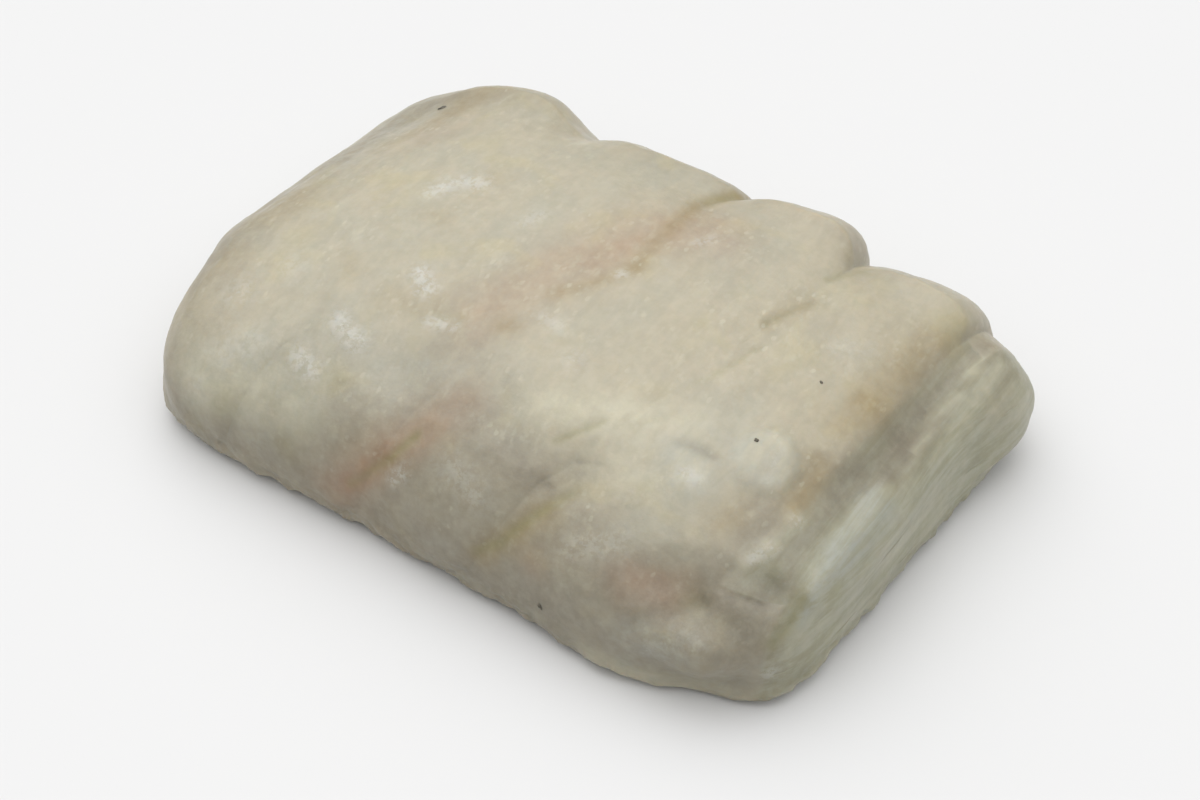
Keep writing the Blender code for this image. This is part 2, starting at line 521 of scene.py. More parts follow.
    def rounded(self, cube: np.ndarray) -> tuple[np.ndarray, np.ndarray, np.ndarray]:
        """Shape a rounded block that reaches 1 each way.

        Args:
            cube: Points on the cube from -1 to 1, as rows.

        Returns:
            The points' places along, across and up.
        """
        _, v, w = cube.T
        u = self.led(cube) / (self.length / 2)
        under = w < 0
        side = np.where(under, self.profile_under, np.where(v < 0, *self.profile_sides))
        section = np.maximum((np.abs(v) ** side + np.abs(w) ** side) ** (1 / side), TINY)
        end = np.where(under, self.profile_under, np.where(u < 0, *self.profile_ends))
        near = np.where(u < 0, *self.corners_near)
        far = np.where(u < 0, *self.corners_far)
        sideways = v**4 / np.maximum(v**4 + w**4, TINY)
        closing = end * (1 - sideways) + np.where(v < 0, near, far) * sideways
        on_end = np.abs(cube[:, 0]) > ON_FACE
        along = np.minimum(np.abs(u), self.end_share)
        rim = (1 - self.end_share**closing) ** (1 / closing)
        on_sides = (1 - along**closing) ** (1 / closing)
        radius = np.where(on_end, rim * np.maximum(np.abs(v), np.abs(w)), on_sides)
        end_u = np.sign(u) * (1 - radius**closing) ** (1 / closing)
        return np.where(on_end, end_u, u), v / section * radius, w / section * radius

    def crown(self, x: np.ndarray, y: np.ndarray) -> np.ndarray:
        """Find how high the top stands above the equator.

        Args:
            x: Places along the block.
            y: Places across it.

        Returns:
            One height for each place.
        """
        left, right, near = self.falls
        lost = left * np.clip(-x / (self.length / 2), 0, 1) ** 2
        lost = lost + right * np.clip(x / (self.length / 2), 0, 1) ** 2
        lost = lost + near * np.clip(-y / (self.width / 2), 0, 1) ** 2
        return (self.thickness - self.equator) * (1 - lost)

    def base(self, cube: np.ndarray) -> np.ndarray:
        """Shape the block before its flakes and swells.

        Args:
            cube: Points on the cube from -1 to 1, as rows.

        Returns:
            The points, as rows of x, y and z.
        """
        u, v, w = self.rounded(cube)
        x, y = u * self.length / 2, v * self.width / 2
        for _ in range(self.fitting_rounds):
            left, right = self.left.at(y), self.right.at(y)
            near, far = self.near.at(x), self.far.at(x)
            x = left + (right - left) * (u + 1) / 2
            y = near + (far - near) * (v + 1) / 2
        below = self.equator * np.clip(1 + w / self.flat_share, 0, 1)
        z = np.where(w > 0, self.equator + w * self.crown(x, y), below)
        height = np.maximum(z - self.equator, 0)
        x = x - self.lean_end * np.maximum(u, 0) ** 3 * height
        y = y + self.lean_side * height
        return np.array([x, y, z]).T

    def flake_relief(self, cube: np.ndarray) -> np.ndarray:
        """Find how far the flakes raise each point: they swell from their root and fall at their lip.

        Args:
            cube: Points on the cube from -1 to 1, as rows.

        Returns:
            One rise for each point.
        """
        number, place = self.flakes(cube)
        across = self.unrolled(cube)
        on_top = np.clip(across, -1, 1)
        lips = [[seam.lip_near, seam.lip_middle, seam.lip_far] for seam in self.seams]
        near, middle, far = np.array([*lips, [0, 0, 0]])[number].T
        shoulder = on_top**self.shoulder
        # On top a lip comes and goes along its seam.
        fast, shift, slow = self.lip_waves
        coming = self.lip_swing * np.sin(fast * across + shift * number)
        wave = self.lip_level + coming * np.cos(slow * across + number)
        height = middle * wave * (1 - shoulder) + np.where(on_top < 0, near, far) * shoulder
        return height * (1 - (1 - place) ** self.root_rise) * (1 - place**self.lip_fall)

    def swelling(self, points: np.ndarray) -> np.ndarray:
        """How far the lumps and hollows raise each point."""
        return sum(swell.height(points) for swell in self.swells)


# ---------------------------------------------------------------------------
# Marks


class Tint(Enum):
    """The tones, stains and painted shade and highlights of the flesh, from the lowest up, each kept as
    an attribute of its mesh.
    """

    # Mostly painted shade, with some greyer flesh.
    GREY_AND_SHADE = "grey"
    # A pale bluish tone, partly painted sheen.
    BLUE = "blue"
    # Pale flesh, partly painted highlights and light.
    PALE_AND_HIGHLIGHT = "pale"
    PINK = "pink"
    TAN = "tan"
    OLIVE = "olive"
    # Wet patches, whose paler colour is a painted glint.
    WET_AND_GLINT = "wet"


@dataclass(frozen=True)
class Mark:
    """A soft stroke over the flesh through a few points, all in millimetres."""

    through: Stroke
    reach: float
    amount: float
    edge: float = 2.0  # a higher power gives a crisper rim

    def strength(self, points: np.ndarray) -> np.ndarray:
        """How strongly it marks each point.

        Args:
            points: Rows of x, y and z in metres.

        Returns:
            The amount at its middle line, falling to 0 around it.
        """
        knots = np.array(self.through) * MM
        starts, ends = (knots, knots) if len(knots) == 1 else (knots[:-1], knots[1:])
        away = np.full(len(points), np.inf)
        for start, end in zip(starts, ends):
            run = end - start
            share = np.clip((points - start) @ run / max(run @ run, TINY), 0, 1)
            gap = np.linalg.norm(points - start - share[:, None] * run, axis=1)
            away = np.minimum(away, gap)
        return self.amount * np.exp(-((away / (self.reach * MM)) ** self.edge))


# The marks' places, in millimetres, aren't all chosen by hand: most were looked up on the flesh's
# surface by a separate script, and some of those were moved onto a new surface by another.

# Strokes that marks follow.
PINK_BAND: Stroke = ((10.9, 17.8, 27.2), (1.8, 11.3, 27.9), (-3.6, -1.1, 28.2), (-7.9, -14.0, 26.8))
NEAR_SIDE: Stroke = ((-30.0, -34.0, 15.0), (-10.0, -33.0, 17.0), (8.0, -34.0, 16.0), (24.0, -34.0, 15.5))
LEFT_RIM: Stroke = ((-47.0, 26.0, 18.0), (-52.0, 12.0, 17.0), (-54.0, -5.0, 17.0), (-54.0, -22.0, 15.0))
KNOB_SHADE: Stroke = ((43.4, -8.2, 23.6), (44.2, -12.5, 22.4), (43.0, -17.6, 21.9), (39.2, -20.6, 23.0))
SECOND_SEAM_SIDE: Stroke = ((-6.1, -31.9, 19.0), (-8.2, -34.8, 15.9), (-13.6, -37.3, 10.1))
THIRD_SEAM_FAR: Stroke = ((30.2, 26.3, 23.4), (27.8, 20.2, 24.9))
THIRD_SEAM_UPPER: Stroke = ((28.7, 14.3, 25.8), (25.7, 6.5, 26.3))
THIRD_SEAM_MIDDLE: Stroke = ((27.4, 2.5, 26.2), (25.6, -4.3, 26.4), (24.2, -7.6, 26.4))
THIRD_SEAM_LOWER: Stroke = ((24.2, -14.4, 26.1), (21.4, -18.3, 25.5))
THIRD_SEAM_SHOULDER: Stroke = ((17.0, -20.6, 25.4), (12.5, -25.5, 23.2))
THIRD_SEAM_SIDE: Stroke = (
    (18.3, -29.4, 20.8),
    (15.7, -32.7, 18.7),
    (11.4, -37.0, 13.0),
    (8.0, -37.6, 10.0),
)
NEAR_FOOT: Stroke = (
    (-42.0, -37.0, 8.0),
    (-20.0, -38.0, 7.0),
    (5.0, -38.0, 6.0),
    (30.0, -38.0, 6.0),
    (44.0, -36.0, 5.0),
)
LOW_TEAR: Stroke = ((14.0, -30.4, 20.0), (15.2, -30.5, 20.0))
MIDDLE_TEAR: Stroke = ((16.5, -26.0, 22.1), (19.8, -25.3, 23.0))
TOP_TEAR: Stroke = ((27.4, -17.9, 25.1), (29.8, -17.1, 25.0), (32.1, -17.2, 24.7))
LEFT_SHOULDER: Stroke = ((-35.7, -34.0, 16.6), (-41.2, -36.0, 13.7))
KNOB: Stroke = ((38.2, -13.9, 25.6),)
LOWER_KNOB: Stroke = ((32.6, -21.9, 24.4),)
LOWER_KNOB_GLINT: Stroke = ((31.9, -21.5, 24.0), (30.3, -21.4, 24.1))
FIRST_BROW_BUMP: Stroke = ((44.8, -17.4, 21.0),)
SECOND_BROW_BUMP: Stroke = ((44.2, -22.7, 19.6),)
THIRD_BROW_BUMP: Stroke = ((42.4, -26.2, 18.8),)

# Stains, and painted shade and highlights, by tint.
STAINS_AND_PAINTED_LIGHT: dict[Tint, tuple[Mark, ...]] = {
    Tint.PINK: (
        Mark(PINK_BAND, 5.5, 0.34),
        Mark(((7.5, 20.0, 26.6), (3.0, 10.0, 27.9), (0.5, 2.0, 28.1)), 2.8, 0.22),
        Mark(((-2.3, -26.1, 22.7),), 4.0, 0.28),
        Mark(((-4.8, -30.6, 20.1), (-10.7, -35.6, 14.4), (-16.5, -37.8, 7.7)), 3.6, 0.48),
        Mark(((-9.4, -34.7, 15.8), (-14.0, -37.4, 9.5)), 1.8, 0.62),
        Mark(((30.5, -34.8, 15.8), (36.0, -32.8, 15.8)), 3.0, 0.40),
        Mark(((-39.3, 16.7, 23.8),), 5.0, 0.22),
        Mark(((16.9, -37.6, 13.1),), 2.4, 0.25),
    ),
    Tint.TAN: (
        Mark(((7.2, 29.3, 23.9), (4.8, 22.3, 26.1), (4.7, 11.2, 27.8), (5.4, 4.4, 28.1)), 1.5, 0.56),
        Mark(((5.4, 4.4, 28.1), (1.6, -2.3, 28.0), (-0.9, -5.6, 27.8)), 1.4, 0.52),
        Mark(((-3.5, -14.1, 26.8),), 2.0, 0.45),
        Mark(((-38.2, 29.7, 23.5), (-40.0, 24.7, 23.1), (-44.4, 12.5, 21.9)), 2.8, 0.36),
        Mark(((-47.6, -5.0, 22.2), (-50.0, -9.4, 21.3)), 4.2, 0.34),
        Mark(((-49.3, -19.2, 20.2),), 3.6, 0.26),
        Mark(((-22.9, 10.2, 27.3), (-23.6, 7.0, 27.3)), 1.9, 0.26),
        Mark(((-26.9, -1.4, 27.0), (-23.5, -1.0, 27.2)), 1.7, 0.20),
        Mark(((-31.2, -13.7, 25.1), (-29.6, -16.0, 25.0)), 1.8, 0.26),
        Mark(((-21.6, -17.6, 25.3), (-15.2, -15.6, 26.1)), 2.4, 0.24),
        Mark(THIRD_SEAM_UPPER, 1.8, 0.30),
        Mark(((15.6, -33.0, 18.2), (12.6, -36.0, 14.5), (8.5, -37.8, 9.5)), 2.2, 0.54),
        Mark(((45.0, 20.5, 22.7), (44.4, 13.2, 23.2), (43.8, 4.1, 23.3)), 3.3, 0.56),
        Mark(((43.8, 4.1, 23.3), (42.8, -2.0, 23.9)), 2.4, 0.58),
        Mark(((43.8, -8.8, 23.2), (44.4, -12.0, 22.4), (44.2, -16.3, 21.4)), 2.0, 0.66),
        Mark(((38.6, -22.0, 22.4), (37.6, -24.2, 21.6)), 2.6, 0.42),
    ),
    Tint.OLIVE: (
        Mark(((7.2, 29.3, 23.9), (5.4, 24.3, 25.7)), 0.9, 0.36),
        Mark(SECOND_SEAM_SIDE, 0.8, 0.62),
        Mark(THIRD_SEAM_FAR, 0.7, 0.30),
        Mark(THIRD_SEAM_UPPER, 0.6, 0.32),
        Mark(THIRD_SEAM_MIDDLE, 0.55, 0.34),
        Mark(THIRD_SEAM_LOWER, 0.55, 0.36),
        Mark(THIRD_SEAM_SHOULDER, 0.55, 0.38),
        Mark(THIRD_SEAM_SIDE, 0.8, 0.58),
        Mark(((-36.4, -37.1, 11.9),), 2.4, 0.31),
        Mark(((-41.8, -37.9, 6.1),), 2.0, 0.25),
        Mark(((-24.8, -37.4, 10.7),), 2.6, 0.28),
        Mark(((-20.3, -29.9, 20.5),), 2.0, 0.22),
        Mark(((-13.3, -16.6, 26.0), (-9.9, -15.8, 26.4)), 0.9, 0.28),
        Mark(((-15.9, -18.2, 25.4),), 1.2, 0.19),
        Mark(((46.0, 25.4, 22.6),), 3.5, 0.25),
        Mark(((50.5, -24.6, 15.5), (50.7, -27.2, 13.4), (49.7, -30.3, 11.7)), 1.0, 0.45),
        Mark(((38.9, -32.8, 14.4),), 2.2, 0.31),
    ),
    # Mostly painted shade, with some greyer flesh.
    Tint.GREY_AND_SHADE: (
        # The sides and the rim lose light.
        Mark(NEAR_FOOT, 9.5, 0.62),
        Mark(NEAR_SIDE, 6.0, 0.30),
        Mark(LEFT_RIM, 5.5, 0.48),
        Mark(((-44.0, 28.0, 21.0), (-30.0, 33.0, 21.0)), 4.5, 0.36),
        Mark(((-20.0, 32.0, 22.0), (-4.0, 32.0, 22.5), (7.0, 32.5, 22.0)), 4.5, 0.26),
        Mark(((12.0, 33.0, 22.0), (22.0, 32.0, 22.0), (29.0, 28.5, 23.0)), 4.5, 0.30),
        Mark(((34.0, 30.5, 21.0), (48.0, 30.0, 17.0)), 4.0, 0.24),
        Mark(((-44.9, -26.0, 19.9), (-50.5, -18.0, 19.5)), 4.5, 0.20),
        # Painted shade in the hollows and on places turned from the light.
        Mark(((-7.1, -27.1, 21.6), (2.7, -29.2, 21.6), (10.2, -29.9, 21.2)), 5.0, 0.42),
        Mark(((-11.5, -21.3, 24.2), (-6.5, -18.4, 25.6)), 3.0, 0.20),
        Mark(((29.5, -35.8, 15.8), (37.2, -32.7, 15.3), (42.0, -30.3, 15.8)), 3.4, 0.70),
        Mark(((46.2, -27.2, 15.7), (47.7, -31.7, 11.8)), 3.4, 0.55),
        Mark(((38.0, -38.0, 9.0), (43.0, -35.5, 11.0)), 4.5, 0.36),
        Mark(((39.6, -27.4, 19.2), (42.7, -22.5, 20.3)), 2.6, 0.42),
        Mark(((32.0, -36.8, 13.5), (38.5, -34.5, 13.5)), 2.6, 0.40),
        Mark(((36.0, -34.5, 14.2), (40.0, -32.4, 14.4)), 2.6, 0.55),
        Mark(((45.8, -30.0, 13.8),), 2.6, 0.15),
        Mark(((40.7, -22.4, 21.0), (41.5, -18.6, 22.0)), 2.4, 0.26),
        Mark(((45.7, -12.5, 21.0), (46.8, -7.0, 20.5)), 3.0, 0.42),
        Mark(((48.2, -6.0, 19.7), (49.8, 6.0, 18.8), (49.7, 14.3, 18.9), (50.5, 26.6, 19.2)), 2.3, 0.42),
        Mark(((54.3, 26.5, 17.4), (55.5, 20.0, 15.5)), 3.4, 0.40),
        Mark(((-6.5, -34.9, 16.7),), 3.2, 0.30),
        Mark(((8.0, -30.5, 20.5), (16.5, -29.6, 20.2)), 3.0, 0.28),
        Mark(((-0.4, -24.9, 23.7), (10.0, -20.4, 26.1)), 4.5, 0.12),
        Mark(((-40.9, 26.4, 22.7), (-32.4, 30.6, 24.7)), 4.0, 0.22),
        Mark(((-48.5, 0.6, 21.6), (-49.9, 8.3, 19.8)), 4.0, 0.16),
        Mark(((-56.0, -10.0, 11.0), (-55.5, -24.0, 9.0), (-50.0, -32.0, 8.0)), 8.0, 0.28),
        Mark(((18.3, -32.4, 18.8), (22.0, -31.0, 20.0)), 3.0, 0.26),
        Mark(((41.1, -23.5, 20.9), (43.6, -18.8, 21.2)), 1.2, 0.30),
        Mark(KNOB_SHADE, 1.4, 0.42),
        # Painted shade in the groove under the cut end's top, with the cut flesh's darker tone.
        Mark(((47.4, 22.7, 20.3), (47.2, 14.7, 20.0), (47.6, 5.3, 19.3)), 2.6, 0.26),
        Mark(((46.6, 13.0, 21.2), (46.4, 2.0, 21.2), (46.0, -7.0, 21.2)), 2.6, 0.18),
        Mark(((48.6, 5.3, 18.9), (49.1, -2.7, 19.1), (48.0, -9.0, 19.8)), 2.8, 0.42),
        Mark(((50.3, 25.7, 19.3), (50.0, 18.3, 19.2), (50.4, 10.5, 18.3)), 2.0, 0.26),
        Mark(((50.4, 10.5, 18.3), (51.0, 2.1, 18.1), (51.0, -1.5, 18.4)), 2.2, 0.62),
        Mark(((48.0, -12.0, 20.0), (47.1, -21.9, 18.4), (49.0, -26.0, 16.0)), 2.0, 0.54),
        # Painted shade in the small tears.
        Mark(LOW_TEAR, 0.5, 0.70),
        Mark(MIDDLE_TEAR, 0.4, 0.45),
        Mark(TOP_TEAR, 0.9, 0.46),
    ),
    # A pale bluish tone, partly painted sheen: on the near side, the left shoulder, the ledge under the
    # cut end's top and the knobs.
    Tint.BLUE: (
        Mark(((-30.8, -37.2, 11.3),), 4.0, 0.30),
        Mark(((-24.3, -33.9, 17.1), (-30.0, -33.0, 17.5)), 4.5, 0.35),
        Mark(LEFT_SHOULDER, 5.0, 0.45),
        Mark(((-11.0, -29.8, 20.5),), 4.0, 0.20),
        Mark(((-16.0, -26.0, 22.5), (-6.0, -23.0, 24.0)), 3.5, 0.25),
        Mark(((52.3, -7.5, 18.0), (52.3, -12.0, 17.8), (52.2, -17.0, 17.0)), 2.6, 0.95),
        Mark(((52.0, -17.0, 17.2), (51.6, -23.0, 15.8), (51.4, -26.0, 13.8)), 1.3, 0.70),
        Mark(KNOB, 5.0, 0.52, 9.0),
        Mark(LOWER_KNOB, 3.6, 0.38),
        Mark(((24.0, -19.5, 25.5), (30.0, -20.0, 25.0)), 3.0, 0.30),
        Mark(((39.8, -37.4, 11.2), (33.0, -38.8, 10.0)), 3.6, 0.30),
    ),
    # Pale flesh, and painted highlights and light: on the bright shoulder, the left shoulder, the knob's
    # rim, the glint by the lower knob, the brow's bumps, the right end and the near foot.
    Tint.PALE_AND_HIGHLIGHT: (
        Mark(((17.0, -19.8, 25.7), (12.9, -21.3, 25.6), (7.9, -21.8, 25.5)), 3.6, 0.66),
        Mark(((26.5, -14.0, 26.0), (18.7, -18.2, 25.8)), 3.0, 0.50),
        Mark(((22.0, -24.0, 23.9), (28.0, -25.0, 23.6)), 3.6, 0.35),
        Mark(LEFT_SHOULDER, 5.5, 0.40),
        Mark(((38.4, -13.9, 25.4),), 4.6, 0.22, 8.0),
        Mark(((-41.7, -36.5, 13.7), (-32.8, -35.4, 15.2), (-24.5, -35.0, 16.4)), 4.5, 0.55),
        # Painted light along the near foot.
        Mark(((28.0, -39.2, 2.0), (38.0, -38.5, 2.0), (46.0, -36.5, 2.0)), 3.0, 0.50),
        Mark(((39.0, -10.0, 25.6), (40.2, -13.0, 24.9), (40.6, -16.0, 23.6)), 1.2, 0.50),
        Mark(LOWER_KNOB_GLINT, 2.0, 0.45),
        Mark(FIRST_BROW_BUMP, 1.5, 0.40),
        Mark(((56.0, 20.0, 15.0), (57.0, 25.0, 13.5)), 3.4, 0.34),
        Mark(((55.0, 4.0, 9.0), (54.5, -8.0, 9.0)), 3.0, 0.25),
        Mark(SECOND_BROW_BUMP, 1.7, 0.35),
        Mark(THIRD_BROW_BUMP, 1.5, 0.30),
        # Pale fibres drawn over the cut end.
        Mark(((51.0, 21.9, 19.3), (50.7, 13.1, 18.4), (51.0, 4.1, 18.0)), 0.45, 0.50),
        Mark(((51.3, 16.6, 18.6), (51.2, 8.1, 18.0), (52.8, -1.7, 17.6)), 0.45, 0.60),
        Mark(((53.5, 25.6, 18.2), (53.7, 15.1, 16.8), (53.6, 4.7, 16.0)), 0.5, 0.45),
        Mark(((56.0, 24.8, 16.1), (55.5, 18.0, 15.1)), 0.5, 0.40),
        Mark(((51.5, 26.0, 19.0), (50.5, 19.5, 19.2)), 0.4, 0.45),
    ),
    # Wet patches: their paler colour is a painted glint, where the finish is also smoother and the
    # relief raised.
    Tint.WET_AND_GLINT: (
        Mark(((-28.9, 3.0, 26.7), (-27.2, 6.4, 27.0), (-23.7, 7.8, 27.3)), 1.7, 0.80),
        Mark(((-20.1, -11.9, 26.7), (-17.5, -13.8, 26.5)), 1.6, 0.95),
        Mark(((-25.8, -23.3, 23.3), (-24.2, -24.0, 23.1), (-21.5, -25.0, 22.8)), 1.6, 0.90),
        Mark(((-28.3, -29.8, 20.0), (-25.3, -30.6, 19.8)), 1.7, 0.80),
        Mark(((-13.8, -18.2, 25.4), (-10.4, -17.5, 25.8)), 1.0, 0.70),
        Mark(((4.5, 2.5, 28.1),), 1.0, 0.90),
        Mark(((9.5, 14.3, 27.6), (11.0, 16.5, 27.4)), 1.0, 0.55),
        Mark(((-12.3, 6.5, 28.0), (-12.9, 3.6, 28.1)), 1.4, 0.45),
        Mark(((0.2, -10.0, 27.4), (3.1, -10.6, 27.4)), 1.2, 0.50),
        Mark(((7.8, -14.6, 27.2),), 2.0, 0.35),
        Mark(((-36.0, -31.0, 19.0), (-39.7, -33.3, 17.0)), 2.6, 0.40),
        Mark(((-41.9, -36.7, 12.4),), 2.0, 0.35),
        Mark(((-43.5, -24.5, 20.5),), 3.0, 0.30),
        Mark(((-38.5, -17.9, 23.1),), 2.5, 0.30),
        Mark(((35.3, 8.8, 25.7), (39.5, 12.5, 25.0)), 1.6, 0.30),
        Mark(((38.7, -10.9, 25.7), (39.4, -13.2, 25.1)), 0.9, 0.85),
        Mark(((39.4, -14.2, 24.8), (39.9, -16.1, 23.8)), 0.9, 0.90),
        Mark(LOWER_KNOB_GLINT, 1.2, 0.85),
        Mark(((-6.9, -36.2, 13.9), (-5.5, -35.4, 15.3)), 1.1, 0.60),
        Mark(((50.6, -31.6, 7.1),), 1.2, 0.55),
        Mark(((45.3, -17.6, 20.6),), 0.9, 0.75),
        Mark(((44.6, -22.7, 19.4), (43.2, -25.2, 18.9)), 0.9, 0.55),
        Mark(((27.5, -32.0, 19.2), (21.0, -35.0, 16.0)), 2.0, 0.28),
        Mark(((36.0, -38.4, 9.6), (42.0, -35.8, 12.0)), 1.8, 0.20),
        Mark(((1.0, -33.5, 18.0), (6.0, -34.5, 16.8)), 2.2, 0.28),
    ),
}


# Fine forms: how far each stands out, or sinks where its amount is negative, in millimetres.
DETAILS: tuple[Mark, ...] = (
    # Short open stretches of the seams.
    Mark(((7.2, 29.3, 23.9), (4.8, 22.3, 26.1)), 1.2, -0.10),
    Mark(SECOND_SEAM_SIDE, 0.9, -0.24),
    Mark(THIRD_SEAM_FAR, 1.1, -0.10),
    Mark(THIRD_SEAM_UPPER, 0.9, -0.14),
    Mark(THIRD_SEAM_MIDDLE, 0.8, -0.20),
    Mark(THIRD_SEAM_LOWER, 0.8, -0.18),
    Mark(THIRD_SEAM_SHOULDER, 0.9, -0.17),
    Mark(THIRD_SEAM_SIDE, 1.1, -0.22),
    # Small tears.
    Mark(LOW_TEAR, 0.6, -0.16),
    Mark(MIDDLE_TEAR, 0.6, -0.10),
    Mark(TOP_TEAR, 0.8, -0.26),
    # The round knob and its lower neighbour.
    Mark(KNOB, 5.0, 0.60, 8.0),
    Mark(LOWER_KNOB, 3.4, 0.25),
    # The bumps at the brow over the cut end, and the groove and the ledge under it.
    Mark(FIRST_BROW_BUMP, 1.6, 0.40),
    Mark(SECOND_BROW_BUMP, 1.8, 0.40),
    Mark(THIRD_BROW_BUMP, 1.6, 0.30),
    Mark(((48.5, 24.8, 19.5), (47.7, 14.4, 19.5), (48.1, 2.2, 19.0), (47.3, -10.2, 19.7)), 2.0, -0.25),
    Mark(((52.1, -3.5, 18.3), (52.0, -10.0, 18.2), (52.0, -17.0, 17.2), (51.6, -23.0, 15.8)), 1.8, 0.55),
    # The soft creases round the near corner's lobe.
    Mark(((39.8, -32.1, 14.6), (34.7, -37.5, 13.0), (31.4, -39.0, 10.5)), 1.4, -0.40),
    Mark(((44.3, -31.5, 14.0), (45.0, -33.0, 11.6), (47.5, -33.6, 5.4)), 1.9, -0.35),
    Mark(((42.3, -27.6, 17.8), (47.2, -26.2, 16.4)), 1.8, -0.30),
    Mark(((42.8, -31.0, 14.5), (47.0, -29.2, 13.8)), 2.2, 0.80),
    Mark(((47.9, -25.3, 16.4), (50.7, -27.2, 13.4), (49.7, -30.3, 11.7)), 0.9, -0.40),
)


# Where the outline draws in or stands out, in millimetres.
OUTLINE: tuple[Mark, ...] = (
    Mark(((-56.5, -20.0, 14.0), (-54.5, -29.0, 10.0)), 7.0, -1.40),
    Mark(((-48.6, 21.6, 19.4), (-45.0, 27.5, 18.5)), 5.5, -1.70),
    Mark(((-54.2, 0.0, 18.4), (-54.2, -5.0, 18.4)), 5.0, -1.20),
    Mark(((-22.5, 34.0, 20.0),), 5.0, -1.70),
    Mark(((-8.0, 33.5, 21.0), (2.0, 33.0, 21.0)), 4.0, -0.70),
    Mark(((28.6, 30.0, 22.0),), 4.0, -1.30),
    Mark(((12.0, 31.2, 24.2),), 4.0, 0.80),
    Mark(((36.0, 31.5, 19.0),), 4.0, -0.60),
    Mark(((52.7, 31.0, 16.0),), 3.5, -0.60),
    Mark(((56.3, 30.8, 9.0),), 3.0, 0.70),
    Mark(((27.0, -39.5, 1.0), (33.0, -39.5, 1.0)), 4.0, 0.70),
    Mark(((40.5, -38.2, 3.0), (46.5, -36.4, 3.0)), 6.0, -1.80),
    Mark(((53.5, -25.0, 0.5), (54.5, -16.0, 0.5)), 5.0, -0.50),
    Mark(((57.0, 4.0, 0.5),), 4.0, 0.60),
)


def marked(marks: tuple[Mark, ...], points: np.ndarray) -> np.ndarray:
    """Join several marks into one strength, which never passes 1.

    Args:
        marks: The marks.
        points: Rows of x, y and z in metres.

    Returns:
        One strength for each point.
    """
    clear = np.ones(len(points))
    for mark in marks:
        clear *= 1 - np.clip(mark.strength(points), 0, 1)
    return 1 - clear


# ---------------------------------------------------------------------------
# Finishes


